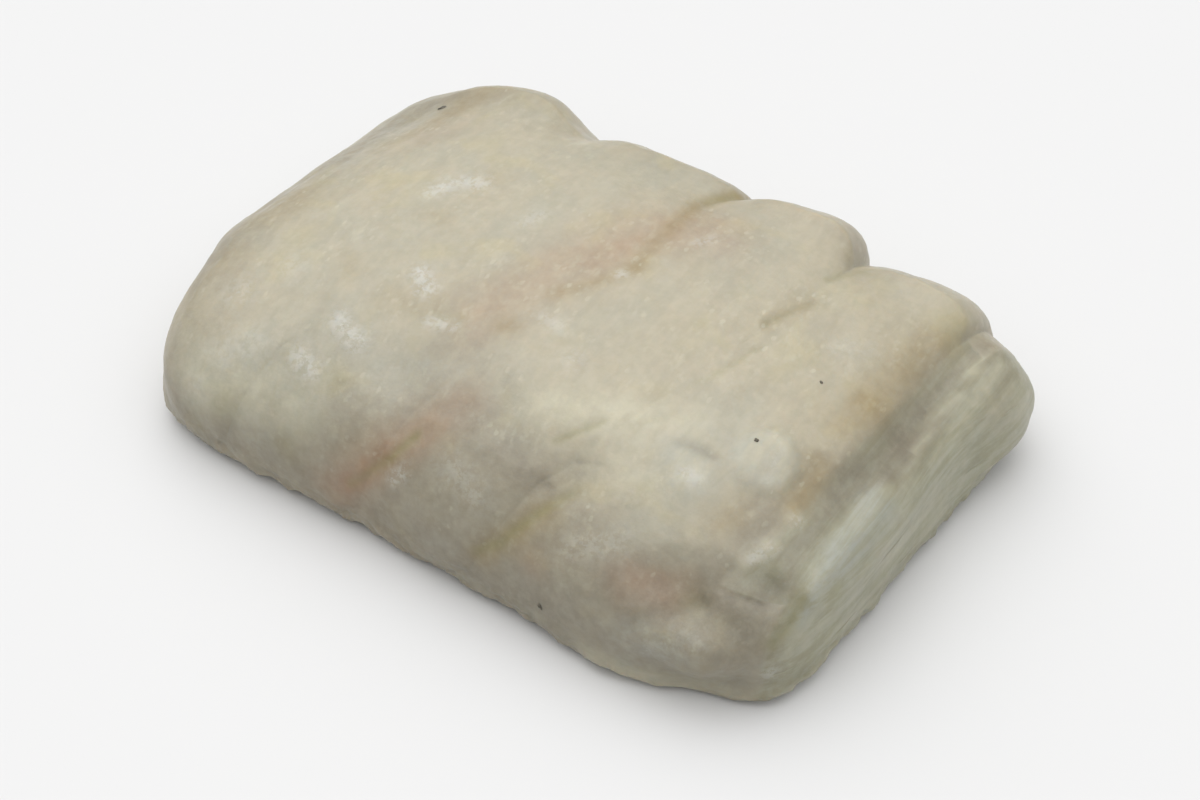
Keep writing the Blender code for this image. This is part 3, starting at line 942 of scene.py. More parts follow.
@dataclass(frozen=True)
class FleshFinish:
    """Wet, faintly translucent white flesh with warm stains along its seams, and painted shade, sheen,
    highlights and glints.
    """

    cream: Colour = (0.450, 0.407, 0.303)
    cool: Colour = (0.420, 0.394, 0.306)
    warm: Colour = (0.468, 0.418, 0.272)
    pink: Colour = (0.355, 0.222, 0.138)
    tan: Colour = (0.310, 0.236, 0.115)
    olive: Colour = (0.270, 0.245, 0.110)
    # The colour of the painted shade, and of greyer flesh.
    grey: Colour = (0.202, 0.175, 0.128)
    # Pale bluish flesh, partly painted sheen.
    blue: Colour = (0.404, 0.416, 0.370)
    # Pale flesh, partly painted highlights and light.
    pale: Colour = (0.560, 0.530, 0.400)
    # The wet patches' painted glint.
    wet: Colour = (0.530, 0.522, 0.465)
    cut: Colour = (0.325, 0.318, 0.212)
    cut_streak: Colour = (0.425, 0.420, 0.320)
    # Pale flecks, partly painted glints.
    fleck: Colour = (0.560, 0.530, 0.410)
    cloud: Pattern = Pattern(60.0, 3.0, 0.55, 0.35, 0.65)
    warmth: Pattern = Pattern(110.0, 2.0, 0.5, 0.52, 0.74, 0.0, 0.6, 0.6)
    mottle: Pattern = Pattern(330.0, 5.0, 0.68, 0.32, 0.68, 0.76, 1.14)
    moist: Pattern = Pattern(900.0, 4.0, 0.68, 0.42, 0.56, 0.15, 1.10)
    fleck_fields: Pattern = Pattern(130.0, 3.0, 0.6, 0.44, 0.62, 0.15, 1.0)
    soft_flecks: Pattern = Pattern(760.0, 2.0, 0.5, 0.52, 0.70, 0.0, 0.26)
    fleck_stretch: Triple = (1.0, 0.6, 1.0)
    chip_count: float = 850.0
    chip_strength: float = 0.42
    chip_rim: tuple[float, float] = (0.20, 0.36)
    chip_choice: tuple[float, float] = (0.45, 0.95)
    chip_tear_count: float = 1500.0
    chip_tear: float = 0.0005
    cut_share: float = 0.85
    cut_stretch: Triple = (1.0, 0.09, 1.0)
    cut_count: float = 520.0
    comb_stretch: Triple = (1.0, 0.3, 1.0)
    comb_count: float = 420.0
    speckle_count: float = 620.0
    gloss: Pattern = Pattern(260.0, 3.0, 0.6, 0.3, 0.7, -0.08, 0.10)
    roughness: float = 0.45
    wet_gloss: float = -0.15  # how much smoother the wet patches are
    scatter: float = 0.5
    scatter_depth: Triple = (0.0028, 0.0018, 0.0011)
    film: float = 0.15
    film_roughness: float = 0.15
    shine: float = 0.35
    bump_stretch: Triple = (1.0, 0.35, 1.0)
    bump_fibre_count: float = 900.0
    bump_grain_count: float = 750.0
    bump_fibre_share: float = 0.6
    bump_strength: float = 0.25
    bump_depth: float = 0.0003

    def material(self) -> bpy.types.Material:
        """Build the finish.

        Returns:
            The material.
        """
        made, nodes, shader = start_material("wet_flesh")
        here = nodes.object_place()
        nodes.feed(shader.inputs["Base Color"], self.colour(nodes, here))
        wet = nodes.math("MULTIPLY", shader_attribute(nodes, Tint.WET_AND_GLINT.value), self.wet_gloss)
        rough = nodes.math("ADD", nodes.math("ADD", self.gloss.over(nodes, here), wet), self.roughness)
        nodes.feed(shader.inputs["Roughness"], rough)
        nodes.feed(shader.inputs["Normal"], self.bump(nodes, here))
        shader.inputs["Subsurface Weight"].default_value = self.scatter
        shader.inputs["Subsurface Radius"].default_value = self.scatter_depth
        shader.inputs["Subsurface Scale"].default_value = 1.0
        shader.inputs["Coat Weight"].default_value = self.film
        shader.inputs["Coat Roughness"].default_value = self.film_roughness
        shader.inputs["Specular IOR Level"].default_value = self.shine
        return made

    def colour(self, nodes: NodeWriter, here: bpy.types.NodeSocket) -> bpy.types.NodeSocket:
        """Write the flesh's colour: cloudy cream, the cut end, the stains with their painted shade and
        highlights, then flecks with painted glints, and fine shade.

        Args:
            nodes: The material's writer.
            here: Object coordinates.

        Returns:
            The colour's socket.
        """
        colour = nodes.blend(self.cloud.over(nodes, here), self.cream, self.cool)
        colour = nodes.blend(self.warmth.over(nodes, here), colour, self.warm)
        drawn = nodes.vector("MULTIPLY", here, self.cut_stretch)
        drawn = nodes.noise(drawn, self.cut_count, 4.0, 0.65, 0.3)
        streaked = nodes.blend(nodes.ramp(drawn, 0.36, 0.64), self.cut, self.cut_streak)
        share = nodes.math("MULTIPLY", shader_attribute(nodes, "cut_face"), self.cut_share)
        colour = nodes.blend(share, colour, streaked)
        colour = self.tinted(nodes, here, colour, nodes.ramp(drawn, 0.36, 0.60, 0.45, 1.15))
        colour = nodes.blend(self.flecks(nodes, here), colour, self.fleck)
        return nodes.blend(1.0, colour, self.shade(nodes, here), "MULTIPLY")

    def tinted(self, nodes: NodeWriter, here: bpy.types.NodeSocket, colour: bpy.types.NodeSocket,
                streaky: bpy.types.NodeSocket) -> bpy.types.NodeSocket:
        """Lay the tones, stains and painted shade and highlights over a colour, from the lowest up.

        Args:
            nodes: The material's writer.
            here: Object coordinates.
            colour: What they are laid on.
            streaky: How the cut end's bluish tone and painted sheen come and go.

        Returns:
            The stained colour's socket.
        """
        mottle = self.mottle.over(nodes, here)
        patches = {Tint.WET_AND_GLINT: self.moist.over(nodes, here), Tint.BLUE: streaky}
        for tint in Tint:
            tint_strength = shader_attribute(nodes, tint.value)
            share = nodes.math("MULTIPLY", tint_strength, patches.get(tint, mottle), clamp=True)
            colour = nodes.blend(share, colour, getattr(self, tint.value))
        return colour

    def flecks(self, nodes: NodeWriter, here: bpy.types.NodeSocket) -> bpy.types.NodeSocket:
        """Write how strongly the fine pale flecks and painted glints show, as soft dots and as torn
        chips.

        Args:
            nodes: The material's writer.
            here: Object coordinates.

        Returns:
            The strength's socket.
        """
        along = nodes.vector("MULTIPLY", here, self.fleck_stretch)
        tear = nodes.vector("SCALE", nodes.noise_colour(here, self.chip_tear_count), self.chip_tear)
        inputs = {"Vector": nodes.vector("ADD", along, tear), "Scale": self.chip_count}
        cells = nodes.add("ShaderNodeTexVoronoi", inputs)
        pick = nodes.add("ShaderNodeSeparateColor", {0: cells.outputs["Color"]}).outputs[0]
        chip = nodes.ramp(cells.outputs["Distance"], *self.chip_rim, self.chip_strength, 0.0)
        chip = nodes.math("MULTIPLY", chip, nodes.ramp(pick, *self.chip_choice))
        fleck = nodes.math("MAXIMUM", self.soft_flecks.over(nodes, along), chip)
        fleck = nodes.math("MULTIPLY", fleck, self.fleck_fields.over(nodes, here))
        return nodes.math("MULTIPLY", fleck, self.lit_top(nodes, here))

    def lit_top(self, nodes: NodeWriter, here: bpy.types.NodeSocket) -> bpy.types.NodeSocket:
        """Write where the flecks and painted glints show: where light falls, so less where shade is
        painted, low on the sides and on the cut end.

        Args:
            nodes: The material's writer.
            here: Object coordinates.

        Returns:
            The share's socket.
        """
        bright = nodes.math("MULTIPLY_ADD", shader_attribute(nodes, Tint.GREY_AND_SHADE.value), -0.55, 1.0)
        high = nodes.ramp(nodes.height(here), 0.006, 0.022, 0.45, 1.0)
        uncut = nodes.ramp(shader_attribute(nodes, "cut_face"), 0.0, 0.5, 1.0, 0.15)
        return nodes.math("MULTIPLY", nodes.math("MULTIPLY", bright, high), uncut)

    def shade(self, nodes: NodeWriter, here: bpy.types.NodeSocket) -> bpy.types.NodeSocket:
        """Write the fine light and dark of short fibres, as a grey close to 1.

        Args:
            nodes: The material's writer.
            here: Object coordinates.

        Returns:
            The grey's socket.
        """
        combed = nodes.vector("MULTIPLY", here, self.comb_stretch)
        combed = nodes.noise(combed, self.comb_count, 3.0, 0.6, 0.5)
        speckle = nodes.noise(here, self.speckle_count, 3.0, 0.6)
        grey = nodes.ramp(nodes.math("ADD", speckle, combed), 0.6, 1.4, 0.92, 1.06)
        return nodes.add("ShaderNodeCombineColor", {0: grey, 1: grey, 2: grey}).outputs[0]

    def bump(self, nodes: NodeWriter, here: bpy.types.NodeSocket) -> bpy.types.NodeSocket:
        """Write fine wet grain, with short fibres along the fish.

        Args:
            nodes: The material's writer.
            here: Object coordinates.

        Returns:
            The normal's socket.
        """
        along = nodes.vector("MULTIPLY", here, self.bump_stretch)
        fibre = nodes.noise(along, self.bump_fibre_count, 2.0, 0.5, 0.3)
        grain = nodes.noise(here, self.bump_grain_count, 3.0, 0.6)
        height = nodes.math("ADD", nodes.math("MULTIPLY", fibre, self.bump_fibre_share), grain)
        inputs = {"Strength": self.bump_strength, "Distance": self.bump_depth, "Height": height}
        return nodes.add("ShaderNodeBump", inputs).outputs[0]


@dataclass(frozen=True)
class PlainFinish:
    """A finish of two close colours in a mottle."""

    name: str
    colour: Colour
    second: Colour
    roughness: float
    mottle_count: float

    def material(self) -> bpy.types.Material:
        """Build the finish.

        Returns:
            The material.
        """
        made, nodes, shader = start_material(self.name)
        mottle = Pattern(self.mottle_count, 3.0, 0.6, 0.35, 0.65).over(nodes, nodes.object_place())
        nodes.feed(shader.inputs["Base Color"], nodes.blend(mottle, self.colour, self.second))
        shader.inputs["Roughness"].default_value = self.roughness
        return made


# ---------------------------------------------------------------------------
# Pieces


@dataclass
class Flesh:
    """The portion's flesh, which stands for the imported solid."""

    form: LoinForm = field(default_factory=LoinForm)
    finish: FleshFinish = field(default_factory=FleshFinish)
    rolling_depth: float = 0.0007
    rolling_count: float = 75.0
    lump_depth: float = 0.0006
    lump_count: float = 190.0
    fibre_depth: float = 0.00006
    fibre_count: float = 560.0
    grain_depth: float = 0.00008
    grain_count: float = 480.0
    moist_depth: float = 0.00016
    streak_depth: float = 0.0003
    streak_count: float = 420.0
    ragged_depth: float = 0.0024
    ragged_count: float = 260.0
    fibre_stretch: Triple = (1.0, 0.35, 1.0)
    lump_stretch: Triple = (1.0, 0.5, 1.0)
    streak_stretch: Triple = (1.0, 0.07, 1.0)
    rim_height: float = 0.002
    rim_spread: float = 0.003
    rim_start: float = 0.0012
    side_power: int = 5  # a higher power keeps the outline's push square to the sides

    def build(self) -> bpy.types.Object:
        """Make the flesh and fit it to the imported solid's box.

        Returns:
            The piece.
        """
        mesh = self.grid()
        cube = self.read(mesh, "co")
        fade = np.where(cube[:, 2] < 0, np.clip(1 + cube[:, 2] / self.form.flat_share, 0, 1), 1)
        self.mark(mesh, cube, self.shape(mesh, cube, fade), fade)
        piece = new_piece("flesh", mesh)
        self.relief_tree().run(piece)
        self.fit(piece.data)
        self.merge_flat_side(piece.data)
        return piece

    def shape(self, mesh: bpy.types.Mesh, cube: np.ndarray, fade: np.ndarray) -> np.ndarray:
        """Give the grid the portion's form, its outline and its fine forms.

        Args:
            mesh: The gridded cube, which takes the shape.
            cube: Its points on the cube.
            fade: How much of the relief each point takes.

        Returns:
            The points before their fine forms, which is where the stains are placed.
        """
        points = self.form.base(cube)
        self.place(mesh, points)
        flat = points[:, 2] <= 0
        relief = (self.form.flake_relief(cube) + self.form.swelling(points)) * fade
        shaped = self.raised(mesh, points, relief, flat)
        shaped -= self.middle(shaped)
        pull = sum(mark.strength(shaped) for mark in OUTLINE)[:, None]
        shaped = shaped + self.outward(shaped) * pull * MM
        self.place(mesh, shaped)
        fine = sum(mark.strength(shaped) for mark in DETAILS) * MM * fade
        self.place(mesh, self.raised(mesh, shaped, fine, flat))
        return shaped

    def raised(self, mesh: bpy.types.Mesh, points: np.ndarray, rise: np.ndarray,
               flat: np.ndarray) -> np.ndarray:
        """Move points out along the mesh's normals, with the flat side kept on the ground.

        Args:
            mesh: The flesh.
            points: Its points.
            rise: How far each moves.
            flat: Which points lie on the flat side.

        Returns:
            The moved points.
        """
        moved = points + self.read(mesh, "normal") * rise[:, None]
        moved[:, 2] = np.where(flat, 0, np.maximum(moved[:, 2], 0))
        return moved

    def outward(self, points: np.ndarray) -> np.ndarray:
        """Find the level direction that leads out of the portion's side.

        Args:
            points: Rows of x, y and z in metres, around the origin.

        Returns:
            One direction for each point, of length 1.
        """
        half = np.abs(points[:, :2]).max(axis=0)
        lean = np.sign(points[:, :2]) * (np.abs(points[:, :2]) / half) ** self.side_power / half
        length = np.maximum(np.linalg.norm(lean, axis=1, keepdims=True), TINY)
        return np.column_stack([lean / length, np.zeros(len(points))])

    @staticmethod
    def middle(points: np.ndarray) -> np.ndarray:
        """The middle of the points' box in x and y."""
        centre = (points.min(axis=0) + points.max(axis=0)) / 2
        return centre * (1, 1, 0)

    def grid(self) -> bpy.types.Mesh:
        """Grid a cube from -1 to 1 with the form's cells.

        Returns:
            The cube's mesh.
        """
        mesh = bpy.data.meshes.new("flesh")
        grid = bmesh.new()
        bmesh.ops.create_cube(grid, size=2)
        cells = (sum(self.form.flake_cells), self.form.cells_across, self.form.cells_high)
        for axis, count in enumerate(cells):
            along = [e for e in grid.edges if abs(e.verts[0].co[axis] - e.verts[1].co[axis]) > TINY]
            bmesh.ops.subdivide_edges(grid, edges=along, cuts=count - 1, use_grid_fill=True)
        grid.to_mesh(mesh)
        grid.free()
        return mesh

    @staticmethod
    def read(mesh: bpy.types.Mesh, name: str) -> np.ndarray:
        """Read one row of three numbers for each vertex.

        Args:
            mesh: The mesh.
            name: What is read, such as its places or its normals.

        Returns:
            The rows.
        """
        values = np.empty(len(mesh.vertices) * 3)
        mesh.vertices.foreach_get(name, values)
        return values.reshape(-1, 3)

    @staticmethod
    def place(mesh: bpy.types.Mesh, points: np.ndarray) -> None:
        """Move the mesh's vertices to these points."""
        mesh.vertices.foreach_set("co", points.ravel())
        mesh.update()

    @staticmethod
    def keep(mesh: bpy.types.Mesh, name: str, values: np.ndarray) -> None:
        """Keep one number for each vertex as an attribute."""
        attribute = mesh.attributes.new(name, "FLOAT", "POINT")
        attribute.data.foreach_set("value", values.astype(np.float32))

    def mark(self, mesh: bpy.types.Mesh, cube: np.ndarray, points: np.ndarray,
             fade: np.ndarray) -> None:
        """Keep what the relief, the finish and the scattered pieces read.

        Args:
            mesh: The flesh.
            cube: Its points on the cube.
            points: Its points in place.
            fade: How much of the relief each point takes.
        """
        number, place = self.form.flakes(cube)
        strip = (number == len(self.form.seams)) * np.clip(place * 3, 0, 1)
        cut = np.where(cube[:, 0] > ON_FACE, 1.0, strip * (np.abs(cube[:, 1]) < ON_FACE))
        height = points[:, 2]
        low = np.exp(-(((height - self.rim_height) / self.rim_spread) ** 2))
        self.keep(mesh, "cut_face", cut)
        self.keep(mesh, "settled", fade)
        self.keep(mesh, "rim", low * np.clip(height / self.rim_start, 0, 1))
        for tint, marks in STAINS_AND_PAINTED_LIGHT.items():
            self.keep(mesh, tint.value, marked(marks, points))

    def relief_tree(self) -> GeometryTree:
        """Write the fine relief: lumps, fibres, grain, wet patches, a streaked cut end and a ragged rim.

        Returns:
            The tree, ready to run.
        """
        moist = self.finish.moist
        tree = GeometryTree("flesh_relief")
        tree.declare(
            rolling=self.rolling_depth,
            rolling_count=self.rolling_count,
            lump=self.lump_depth,
            lump_count=self.lump_count,
            fibre=self.fibre_depth,
            fibre_count=self.fibre_count,
            grain=self.grain_depth,
            grain_count=self.grain_count,
            moist=self.moist_depth,
            moist_count=moist.count,
            streak=self.streak_depth,
            streak_count=self.streak_count,
            ragged=self.ragged_depth,
            ragged_count=self.ragged_count,
        )
        nodes = tree.nodes
        here = nodes.add("GeometryNodeInputPosition").outputs[0]
        normal = nodes.add("GeometryNodeInputNormal").outputs[0]

        def wave(name: str, where: bpy.types.NodeSocket, detail: float,
                 rough: float) -> bpy.types.NodeSocket:
            """Noise about 0, as deep and as close as the tree's inputs of that name say."""
            value = nodes.noise(where, tree.given(name + "_count"), detail, rough, 0.3)
            return nodes.math("MULTIPLY", nodes.math("SUBTRACT", value, 0.5), tree.given(name))

        cut = geometry_attribute(nodes, "cut_face")
        grain = wave("grain", here, 3.0, 0.6)
        fibre = wave("fibre", nodes.vector("MULTIPLY", here, self.fibre_stretch), 2.0, 0.5)
        streak = wave("streak", nodes.vector("MULTIPLY", here, self.streak_stretch), 3.0, 0.6)
        ragged = nodes.math("MULTIPLY", wave("ragged", here, 3.0, 0.6), geometry_attribute(nodes, "rim"))
        lump = wave("lump", nodes.vector("MULTIPLY", here, self.lump_stretch), 2.0, 0.5)
        swell = nodes.math("ADD", wave("rolling", here, 2.0, 0.4), lump)
        patch = nodes.noise(here, tree.given("moist_count"), moist.detail, moist.rough)
        patch = nodes.math("MULTIPLY", nodes.ramp(patch, moist.low, moist.high), tree.given("moist"))
        patch = nodes.math("MULTIPLY", patch, geometry_attribute(nodes, Tint.WET_AND_GLINT.value))
        skin = nodes.math("ADD", nodes.math("ADD", fibre, grain), nodes.math("ADD", swell, patch))
        uncut = nodes.math("MULTIPLY", skin, nodes.math("SUBTRACT", 1.0, cut))
        face = nodes.math("MULTIPLY", nodes.math("ADD", streak, nodes.math("MULTIPLY", grain, 0.5)), cut)
        total = nodes.math("ADD", uncut, face)
        total = nodes.math("MULTIPLY", total, geometry_attribute(nodes, "settled"))
        total = nodes.math("ADD", total, ragged)
        offset = nodes.vector("SCALE", normal, total)
        moved = nodes.add("GeometryNodeSetPosition", {"Geometry": tree.given(), "Offset": offset})
        tree.close(moved.outputs[0], self.finish.material())
        return tree

    def fit(self, mesh: bpy.types.Mesh) -> None:
        """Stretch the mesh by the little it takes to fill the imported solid's box exactly.

        Args:
            mesh: The flesh.
        """
        low, high = (np.array(corner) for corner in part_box(SOLID))
        points = self.read(mesh, "co")
        least, most = points.min(axis=0), points.max(axis=0)
        self.place(mesh, low + (points - least) / (most - least) * (high - low))

    def merge_flat_side(self, mesh: bpy.types.Mesh) -> None:
        """Make one face of the underside's flat cells.

        Args:
            mesh: The flesh.
        """
        grid = bmesh.new()
        grid.from_mesh(mesh)
        floor = min(vert.co.z for vert in grid.verts) + LEVEL
        flat = [face for face in grid.faces if all(vert.co.z <= floor for vert in face.verts)]
        bmesh.ops.dissolve_faces(grid, faces=flat)
        grid.to_mesh(mesh)
        grid.free()


@dataclass
class CutFibres:
    """Loose fibres that lie along the cut end."""

    count: float = 15000.0
    least_length: float = 0.003
    most_length: float = 0.009
    thickness: float = 0.00009
    wander: float = 0.0014
    tilt: float = 0.06
    sway_count: float = 180.0
    fading: tuple[float, float] = (0.012, 0.016)  # the heights between which they give out
    knots: int = 14
    sides: int = 6
    tip: float = 0.12
    seed: int = 5
    finish: PlainFinish = PlainFinish(
        "cut_fibre", (0.36, 0.35, 0.25), (0.42, 0.41, 0.31), 0.55, 300.0
    )

    def build(self, flesh: bpy.types.Object) -> bpy.types.Object:
        """Lay the fibres on the cut end.

        Args:
            flesh: The finished flesh.

        Returns:
            The piece.
        """
        piece = new_piece("cut_fibres", flesh.data.copy())
        self.tree().run(piece)
        return piece

    def tree(self) -> GeometryTree:
        """Write the tree that turns the flesh's mesh into fibres drawn over its cut end.

        Returns:
            The tree, ready to run.
        """
        tree = GeometryTree("fibre_layer")
        tree.declare(
            count=self.count,
            least_length=self.least_length,
            most_length=self.most_length,
            thickness=self.thickness,
            wander=self.wander,
            tilt=self.tilt,
            seed=self.seed,
        )
        laid = self.laid(tree, self.strands(tree, self.roots(tree)))
        tree.close(self.tubes(tree, laid), self.finish.material())
        return tree

    def roots(self, tree: GeometryTree) -> bpy.types.NodeSocket:
        """Scatter the fibres' middles over the low part of the cut end.

        Args:
            tree: The tree to write in.

        Returns:
            The points.
        """
        nodes = tree.nodes
        share = nodes.math("POWER", geometry_attribute(nodes, "cut_face"), 4.0)
        share = nodes.math("MULTIPLY", share, geometry_attribute(nodes, "settled"))
        height = nodes.height(nodes.add("GeometryNodeInputPosition").outputs[0])
        share = nodes.math("MULTIPLY", share, nodes.ramp(height, *self.fading, 1.0, 0.0))
        inputs = {
            "Mesh": tree.given(),
            "Density": nodes.math("MULTIPLY", share, tree.given("count")),
            "Seed": tree.given("seed"),
        }
        spread = nodes.add("GeometryNodeDistributePointsOnFaces", inputs, distribute_method="RANDOM")
        return spread.outputs["Points"]

    def strands(self, tree: GeometryTree, roots: bpy.types.NodeSocket) -> bpy.types.NodeSocket:
        """Set a straight line on each point, of its own length and tilt.

        Args:
            tree: The tree to write in.
            roots: The points.

        Returns:
            The lines, as curves.
        """
        nodes = tree.nodes
        line = nodes.add("GeometryNodeCurvePrimitiveLine", {"Start": (0, -0.5, 0), "End": (0, 0.5, 0)})
        cuts = nodes.add("GeometryNodeResampleCurve", {"Curve": line.outputs[0], "Count": self.knots})
        ends = {2: tree.given("least_length"), 3: tree.given("most_length")}
        length = nodes.add("FunctionNodeRandomValue", ends, data_type="FLOAT").outputs[1]
        ends = {2: nodes.math("MULTIPLY", tree.given("tilt"), -1.0), 3: tree.given("tilt")}
        lean = nodes.add("FunctionNodeRandomValue", ends, data_type="FLOAT").outputs[1]
        inputs = {
            "Points": roots,
            "Instance": cuts.outputs[0],
            "Rotation": nodes.add("ShaderNodeCombineXYZ", {0: lean}).outputs[0],
            "Scale": length,
        }
        placed = nodes.add("GeometryNodeInstanceOnPoints", inputs).outputs[0]
        return nodes.add("GeometryNodeRealizeInstances", {"Geometry": placed}).outputs[0]

    def laid(self, tree: GeometryTree, strands: bpy.types.NodeSocket) -> bpy.types.NodeSocket:
        """Let the lines sway up and down, and lay them on the flesh.

        Args:
            tree: The tree to write in.
            strands: The lines.

        Returns:
            The lines on the flesh.
        """
        nodes = tree.nodes
        here = nodes.add("GeometryNodeInputPosition").outputs[0]
        sway = nodes.math("SUBTRACT", nodes.noise(here, self.sway_count, 2.0, 0.5), 0.5)
        sway = nodes.math("MULTIPLY", sway, tree.given("wander"))
        offset = nodes.add("ShaderNodeCombineXYZ", {2: sway}).outputs[0]
        swayed = nodes.add("GeometryNodeSetPosition", {"Geometry": strands, "Offset": offset})
        near = nodes.add("GeometryNodeProximity", {0: tree.given()}, target_element="FACES")
        inputs = {"Geometry": swayed.outputs[0], "Position": near.outputs["Position"]}
        return nodes.add("GeometryNodeSetPosition", inputs).outputs[0]

    def tubes(self, tree: GeometryTree, lines: bpy.types.NodeSocket) -> bpy.types.NodeSocket:
        """Thicken the lines into closed tubes that taper to both ends.

        Args:
            tree: The tree to write in.
            lines: The lines.

        Returns:
            The tubes.
        """
        nodes = tree.nodes
        along = nodes.add("GeometryNodeSplineParameter").outputs["Factor"]
        taper = nodes.math("SINE", nodes.math("MULTIPLY", along, math.pi))
        thin = nodes.math("MULTIPLY", nodes.math("ADD", taper, self.tip), tree.given("thickness"))
        sized = nodes.add("GeometryNodeSetCurveRadius", {"Curve": lines, "Radius": thin})
        ring = nodes.add("GeometryNodeCurvePrimitiveCircle", {"Resolution": self.sides, "Radius": 1.0})
        inputs = {
            "Curve": sized.outputs[0],
            "Profile Curve": ring.outputs[0],
            "Fill Caps": True,
            "Scale": nodes.add("GeometryNodeInputRadius").outputs[0],
        }
        return nodes.add("GeometryNodeCurveToMesh", inputs).outputs[0]


@dataclass(frozen=True)
class Speck:
    """One dark speck: where it sits, how large it is and how far it is turned."""

    at: Triple  # millimetres
    size: Triple  # half its length, width and height, in millimetres
    turn: float


@dataclass
class Specks:
    """A few dark specks on the flesh."""

    specks: tuple[Speck, ...] = (
        Speck((-43.5, 24.6, 21.9), (0.78, 0.36, 0.22), 1.9),
        Speck((35.6, -12.2, 26.7), (0.36, 0.28, 0.18), 0.2),
        Speck((37.0, 2.9, 25.3), (0.27, 0.20, 0.14), 1.2),
        Speck((18.8, -39.2, 6.9), (0.50, 0.30, 0.22), 2.0),
    )
    finish: PlainFinish = PlainFinish(
        "dark_speck", (0.085, 0.075, 0.052), (0.150, 0.135, 0.100), 0.5, 2500.0
    )
    lump: float = 0.22
    lump_waves: Triple = (3.1, 2.7, 3.0)

    def build(self, flesh: bpy.types.Object) -> bpy.types.Object:
        """Press the specks into the flesh.

        Args:
            flesh: The finished flesh.

        Returns:
            The piece.
        """
        tree = BVHTree.FromPolygons(
            [vert.co.copy() for vert in flesh.data.vertices],
            [tuple(face.vertices) for face in flesh.data.polygons],
        )
        grid = bmesh.new()
        for speck in self.specks:
            self.add(grid, tree, speck)
        mesh = bpy.data.meshes.new("dark_specks")
        grid.to_mesh(mesh)
        grid.free()
        mesh.shade_smooth()
        mesh.materials.append(self.finish.material())
        return new_piece("dark_specks", mesh)

    def add(self, grid: bmesh.types.BMesh, tree: BVHTree, speck: Speck) -> None:
        """Add one speck, a lumpy pebble that lies along the surface.

        Args:
            grid: Where it is added.
            tree: The flesh's surface.
            speck: The speck.
        """
        spot, normal, _, _ = tree.find_nearest(Vector(speck.at) * MM)
        facing = normal.to_track_quat("Z", "Y").to_matrix()
        made = bmesh.ops.create_icosphere(grid, subdivisions=3, radius=1.0)
        first, second, third = self.lump_waves
        for vert in made["verts"]:
            out = vert.co.copy()
            wave = math.sin(first * out.x + speck.turn * 5)
            lump = 1 + self.lump * wave * math.cos(second * out.y + out.z * third)
            flat = Vector((out.x * speck.size[0], out.y * speck.size[1], out.z * speck.size[2])) * lump
            x = flat.x * math.cos(speck.turn) - flat.y * math.sin(speck.turn)
            y = flat.x * math.sin(speck.turn) + flat.y * math.cos(speck.turn)
            vert.co = spot + facing @ (Vector((x, y, flat.z)) * MM)


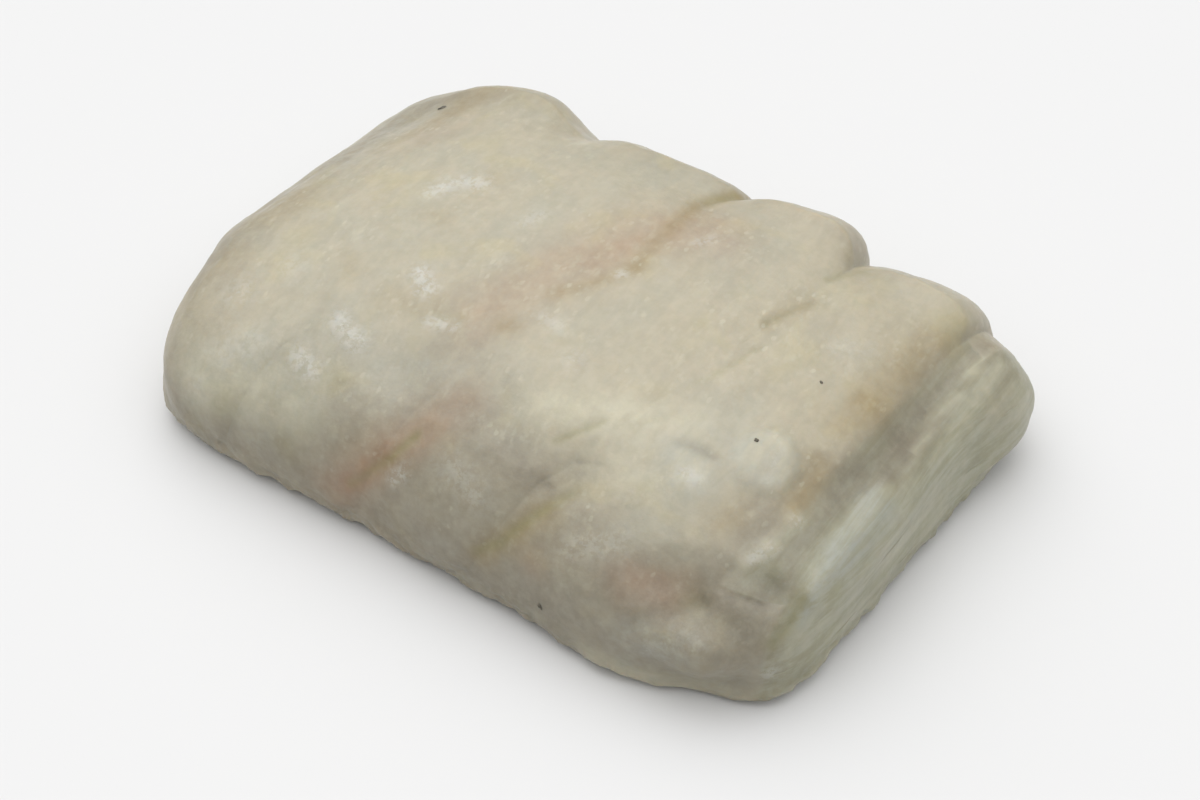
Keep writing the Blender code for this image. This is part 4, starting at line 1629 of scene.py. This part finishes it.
@dataclass(frozen=True)
class Studio:
    """The plain floor, soft light and camera."""

    azimuth: float = 33.8
    elevation: float = 46.2
    distance: float = 0.335
    lens: float = 70.0
    nearest: float = 0.01  # how close to the camera things are still seen
    target: Triple = (0.0059, -0.0048, 0.010)
    floor_size: float = 6.0
    floor_colour: Colour = (0.72, 0.72, 0.72)
    floor_roughness: float = 0.9
    backdrop: float = 0.92  # how bright the far background looks
    horizon: float = 0.08  # how much light comes from level with the floor
    zenith: float = 2.10  # how much comes from straight above
    gathering: float = 2.2  # the power with which the light gathers overhead
    key_strength: float = 0.90
    key_softness: float = 70.0
    key_from: Triple = (-0.55, 0.35, 0.75)

    def build(self) -> None:
        """Add the floor, the light and the camera."""
        self.add_floor()
        self.add_light()
        self.add_camera()

    def add_floor(self) -> None:
        """A plain pale plane under the portion."""
        mesh = bpy.data.meshes.new("floor")
        plane = bmesh.new()
        bmesh.ops.create_grid(plane, x_segments=1, y_segments=1, size=self.floor_size / 2)
        plane.to_mesh(mesh)
        plane.free()
        floor = new_piece("floor", mesh)
        colour = self.floor_colour
        finish = PlainFinish("pale_floor", colour, colour, self.floor_roughness, 10.0)
        mesh.materials.append(finish.material())

    def add_light(self) -> None:
        """Soft light from overhead, and a broad, weak key light from beyond the left end."""
        scene = bpy.context.scene
        world = bpy.data.worlds.new("studio")
        world.use_nodes = True
        nodes = NodeWriter(world.node_tree)
        sky = world.node_tree.nodes["Background"]
        sky.inputs["Color"].default_value = (1.0, 1.0, 1.0, 1.0)
        toward = nodes.add("ShaderNodeTexCoord").outputs["Generated"]
        height = nodes.add("ShaderNodeSeparateXYZ", {0: toward}).outputs["Z"]
        rise = nodes.math("POWER", nodes.math("MAXIMUM", height, 0.0), self.gathering)
        light = nodes.math("MULTIPLY_ADD", rise, self.zenith - self.horizon, self.horizon)
        seen = nodes.add("ShaderNodeLightPath").outputs["Is Camera Ray"]
        shown = nodes.math("MULTIPLY", seen, nodes.math("SUBTRACT", self.backdrop, light))
        nodes.feed(sky.inputs["Strength"], nodes.math("ADD", light, shown))
        scene.world = world
        lamp = bpy.data.lights.new("key", "SUN")
        lamp.energy = self.key_strength
        lamp.angle = math.radians(self.key_softness)
        key = bpy.data.objects.new("key", lamp)
        key.rotation_euler = Vector(self.key_from).to_track_quat("Z", "Y").to_euler()
        scene.collection.objects.link(key)
        scene.view_settings.view_transform = "Standard"

    def add_camera(self) -> None:
        """A camera that looks down on the near right corner."""
        turn, rise = math.radians(self.azimuth), math.radians(self.elevation)
        back = Vector((
            math.sin(turn) * math.cos(rise),
            -math.cos(turn) * math.cos(rise),
            math.sin(rise),
        ))
        lens = bpy.data.cameras.new("camera")
        lens.lens = self.lens
        lens.clip_start = self.nearest
        camera = bpy.data.objects.new("camera", lens)
        camera.location = Vector(self.target) + back * self.distance
        camera.rotation_euler = back.to_track_quat("Z", "Y").to_euler()
        bpy.context.scene.collection.objects.link(camera)
        bpy.context.scene.camera = camera


def main() -> None:
    """Build the portion and its studio, and report each piece."""
    logging.basicConfig(level=logging.INFO, format="%(name)s: %(message)s")
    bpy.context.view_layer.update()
    flesh = Flesh().build()
    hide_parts(SOLID)
    pieces = [flesh, CutFibres().build(flesh), Specks().build(flesh)]
    for piece in pieces:
        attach(piece, BODY)
        log.info("%s: %d faces", piece.name, len(piece.data.polygons))
    Studio().build()
    log.info("studio: floor, light and camera")


if __name__ == "__main__":
    main()
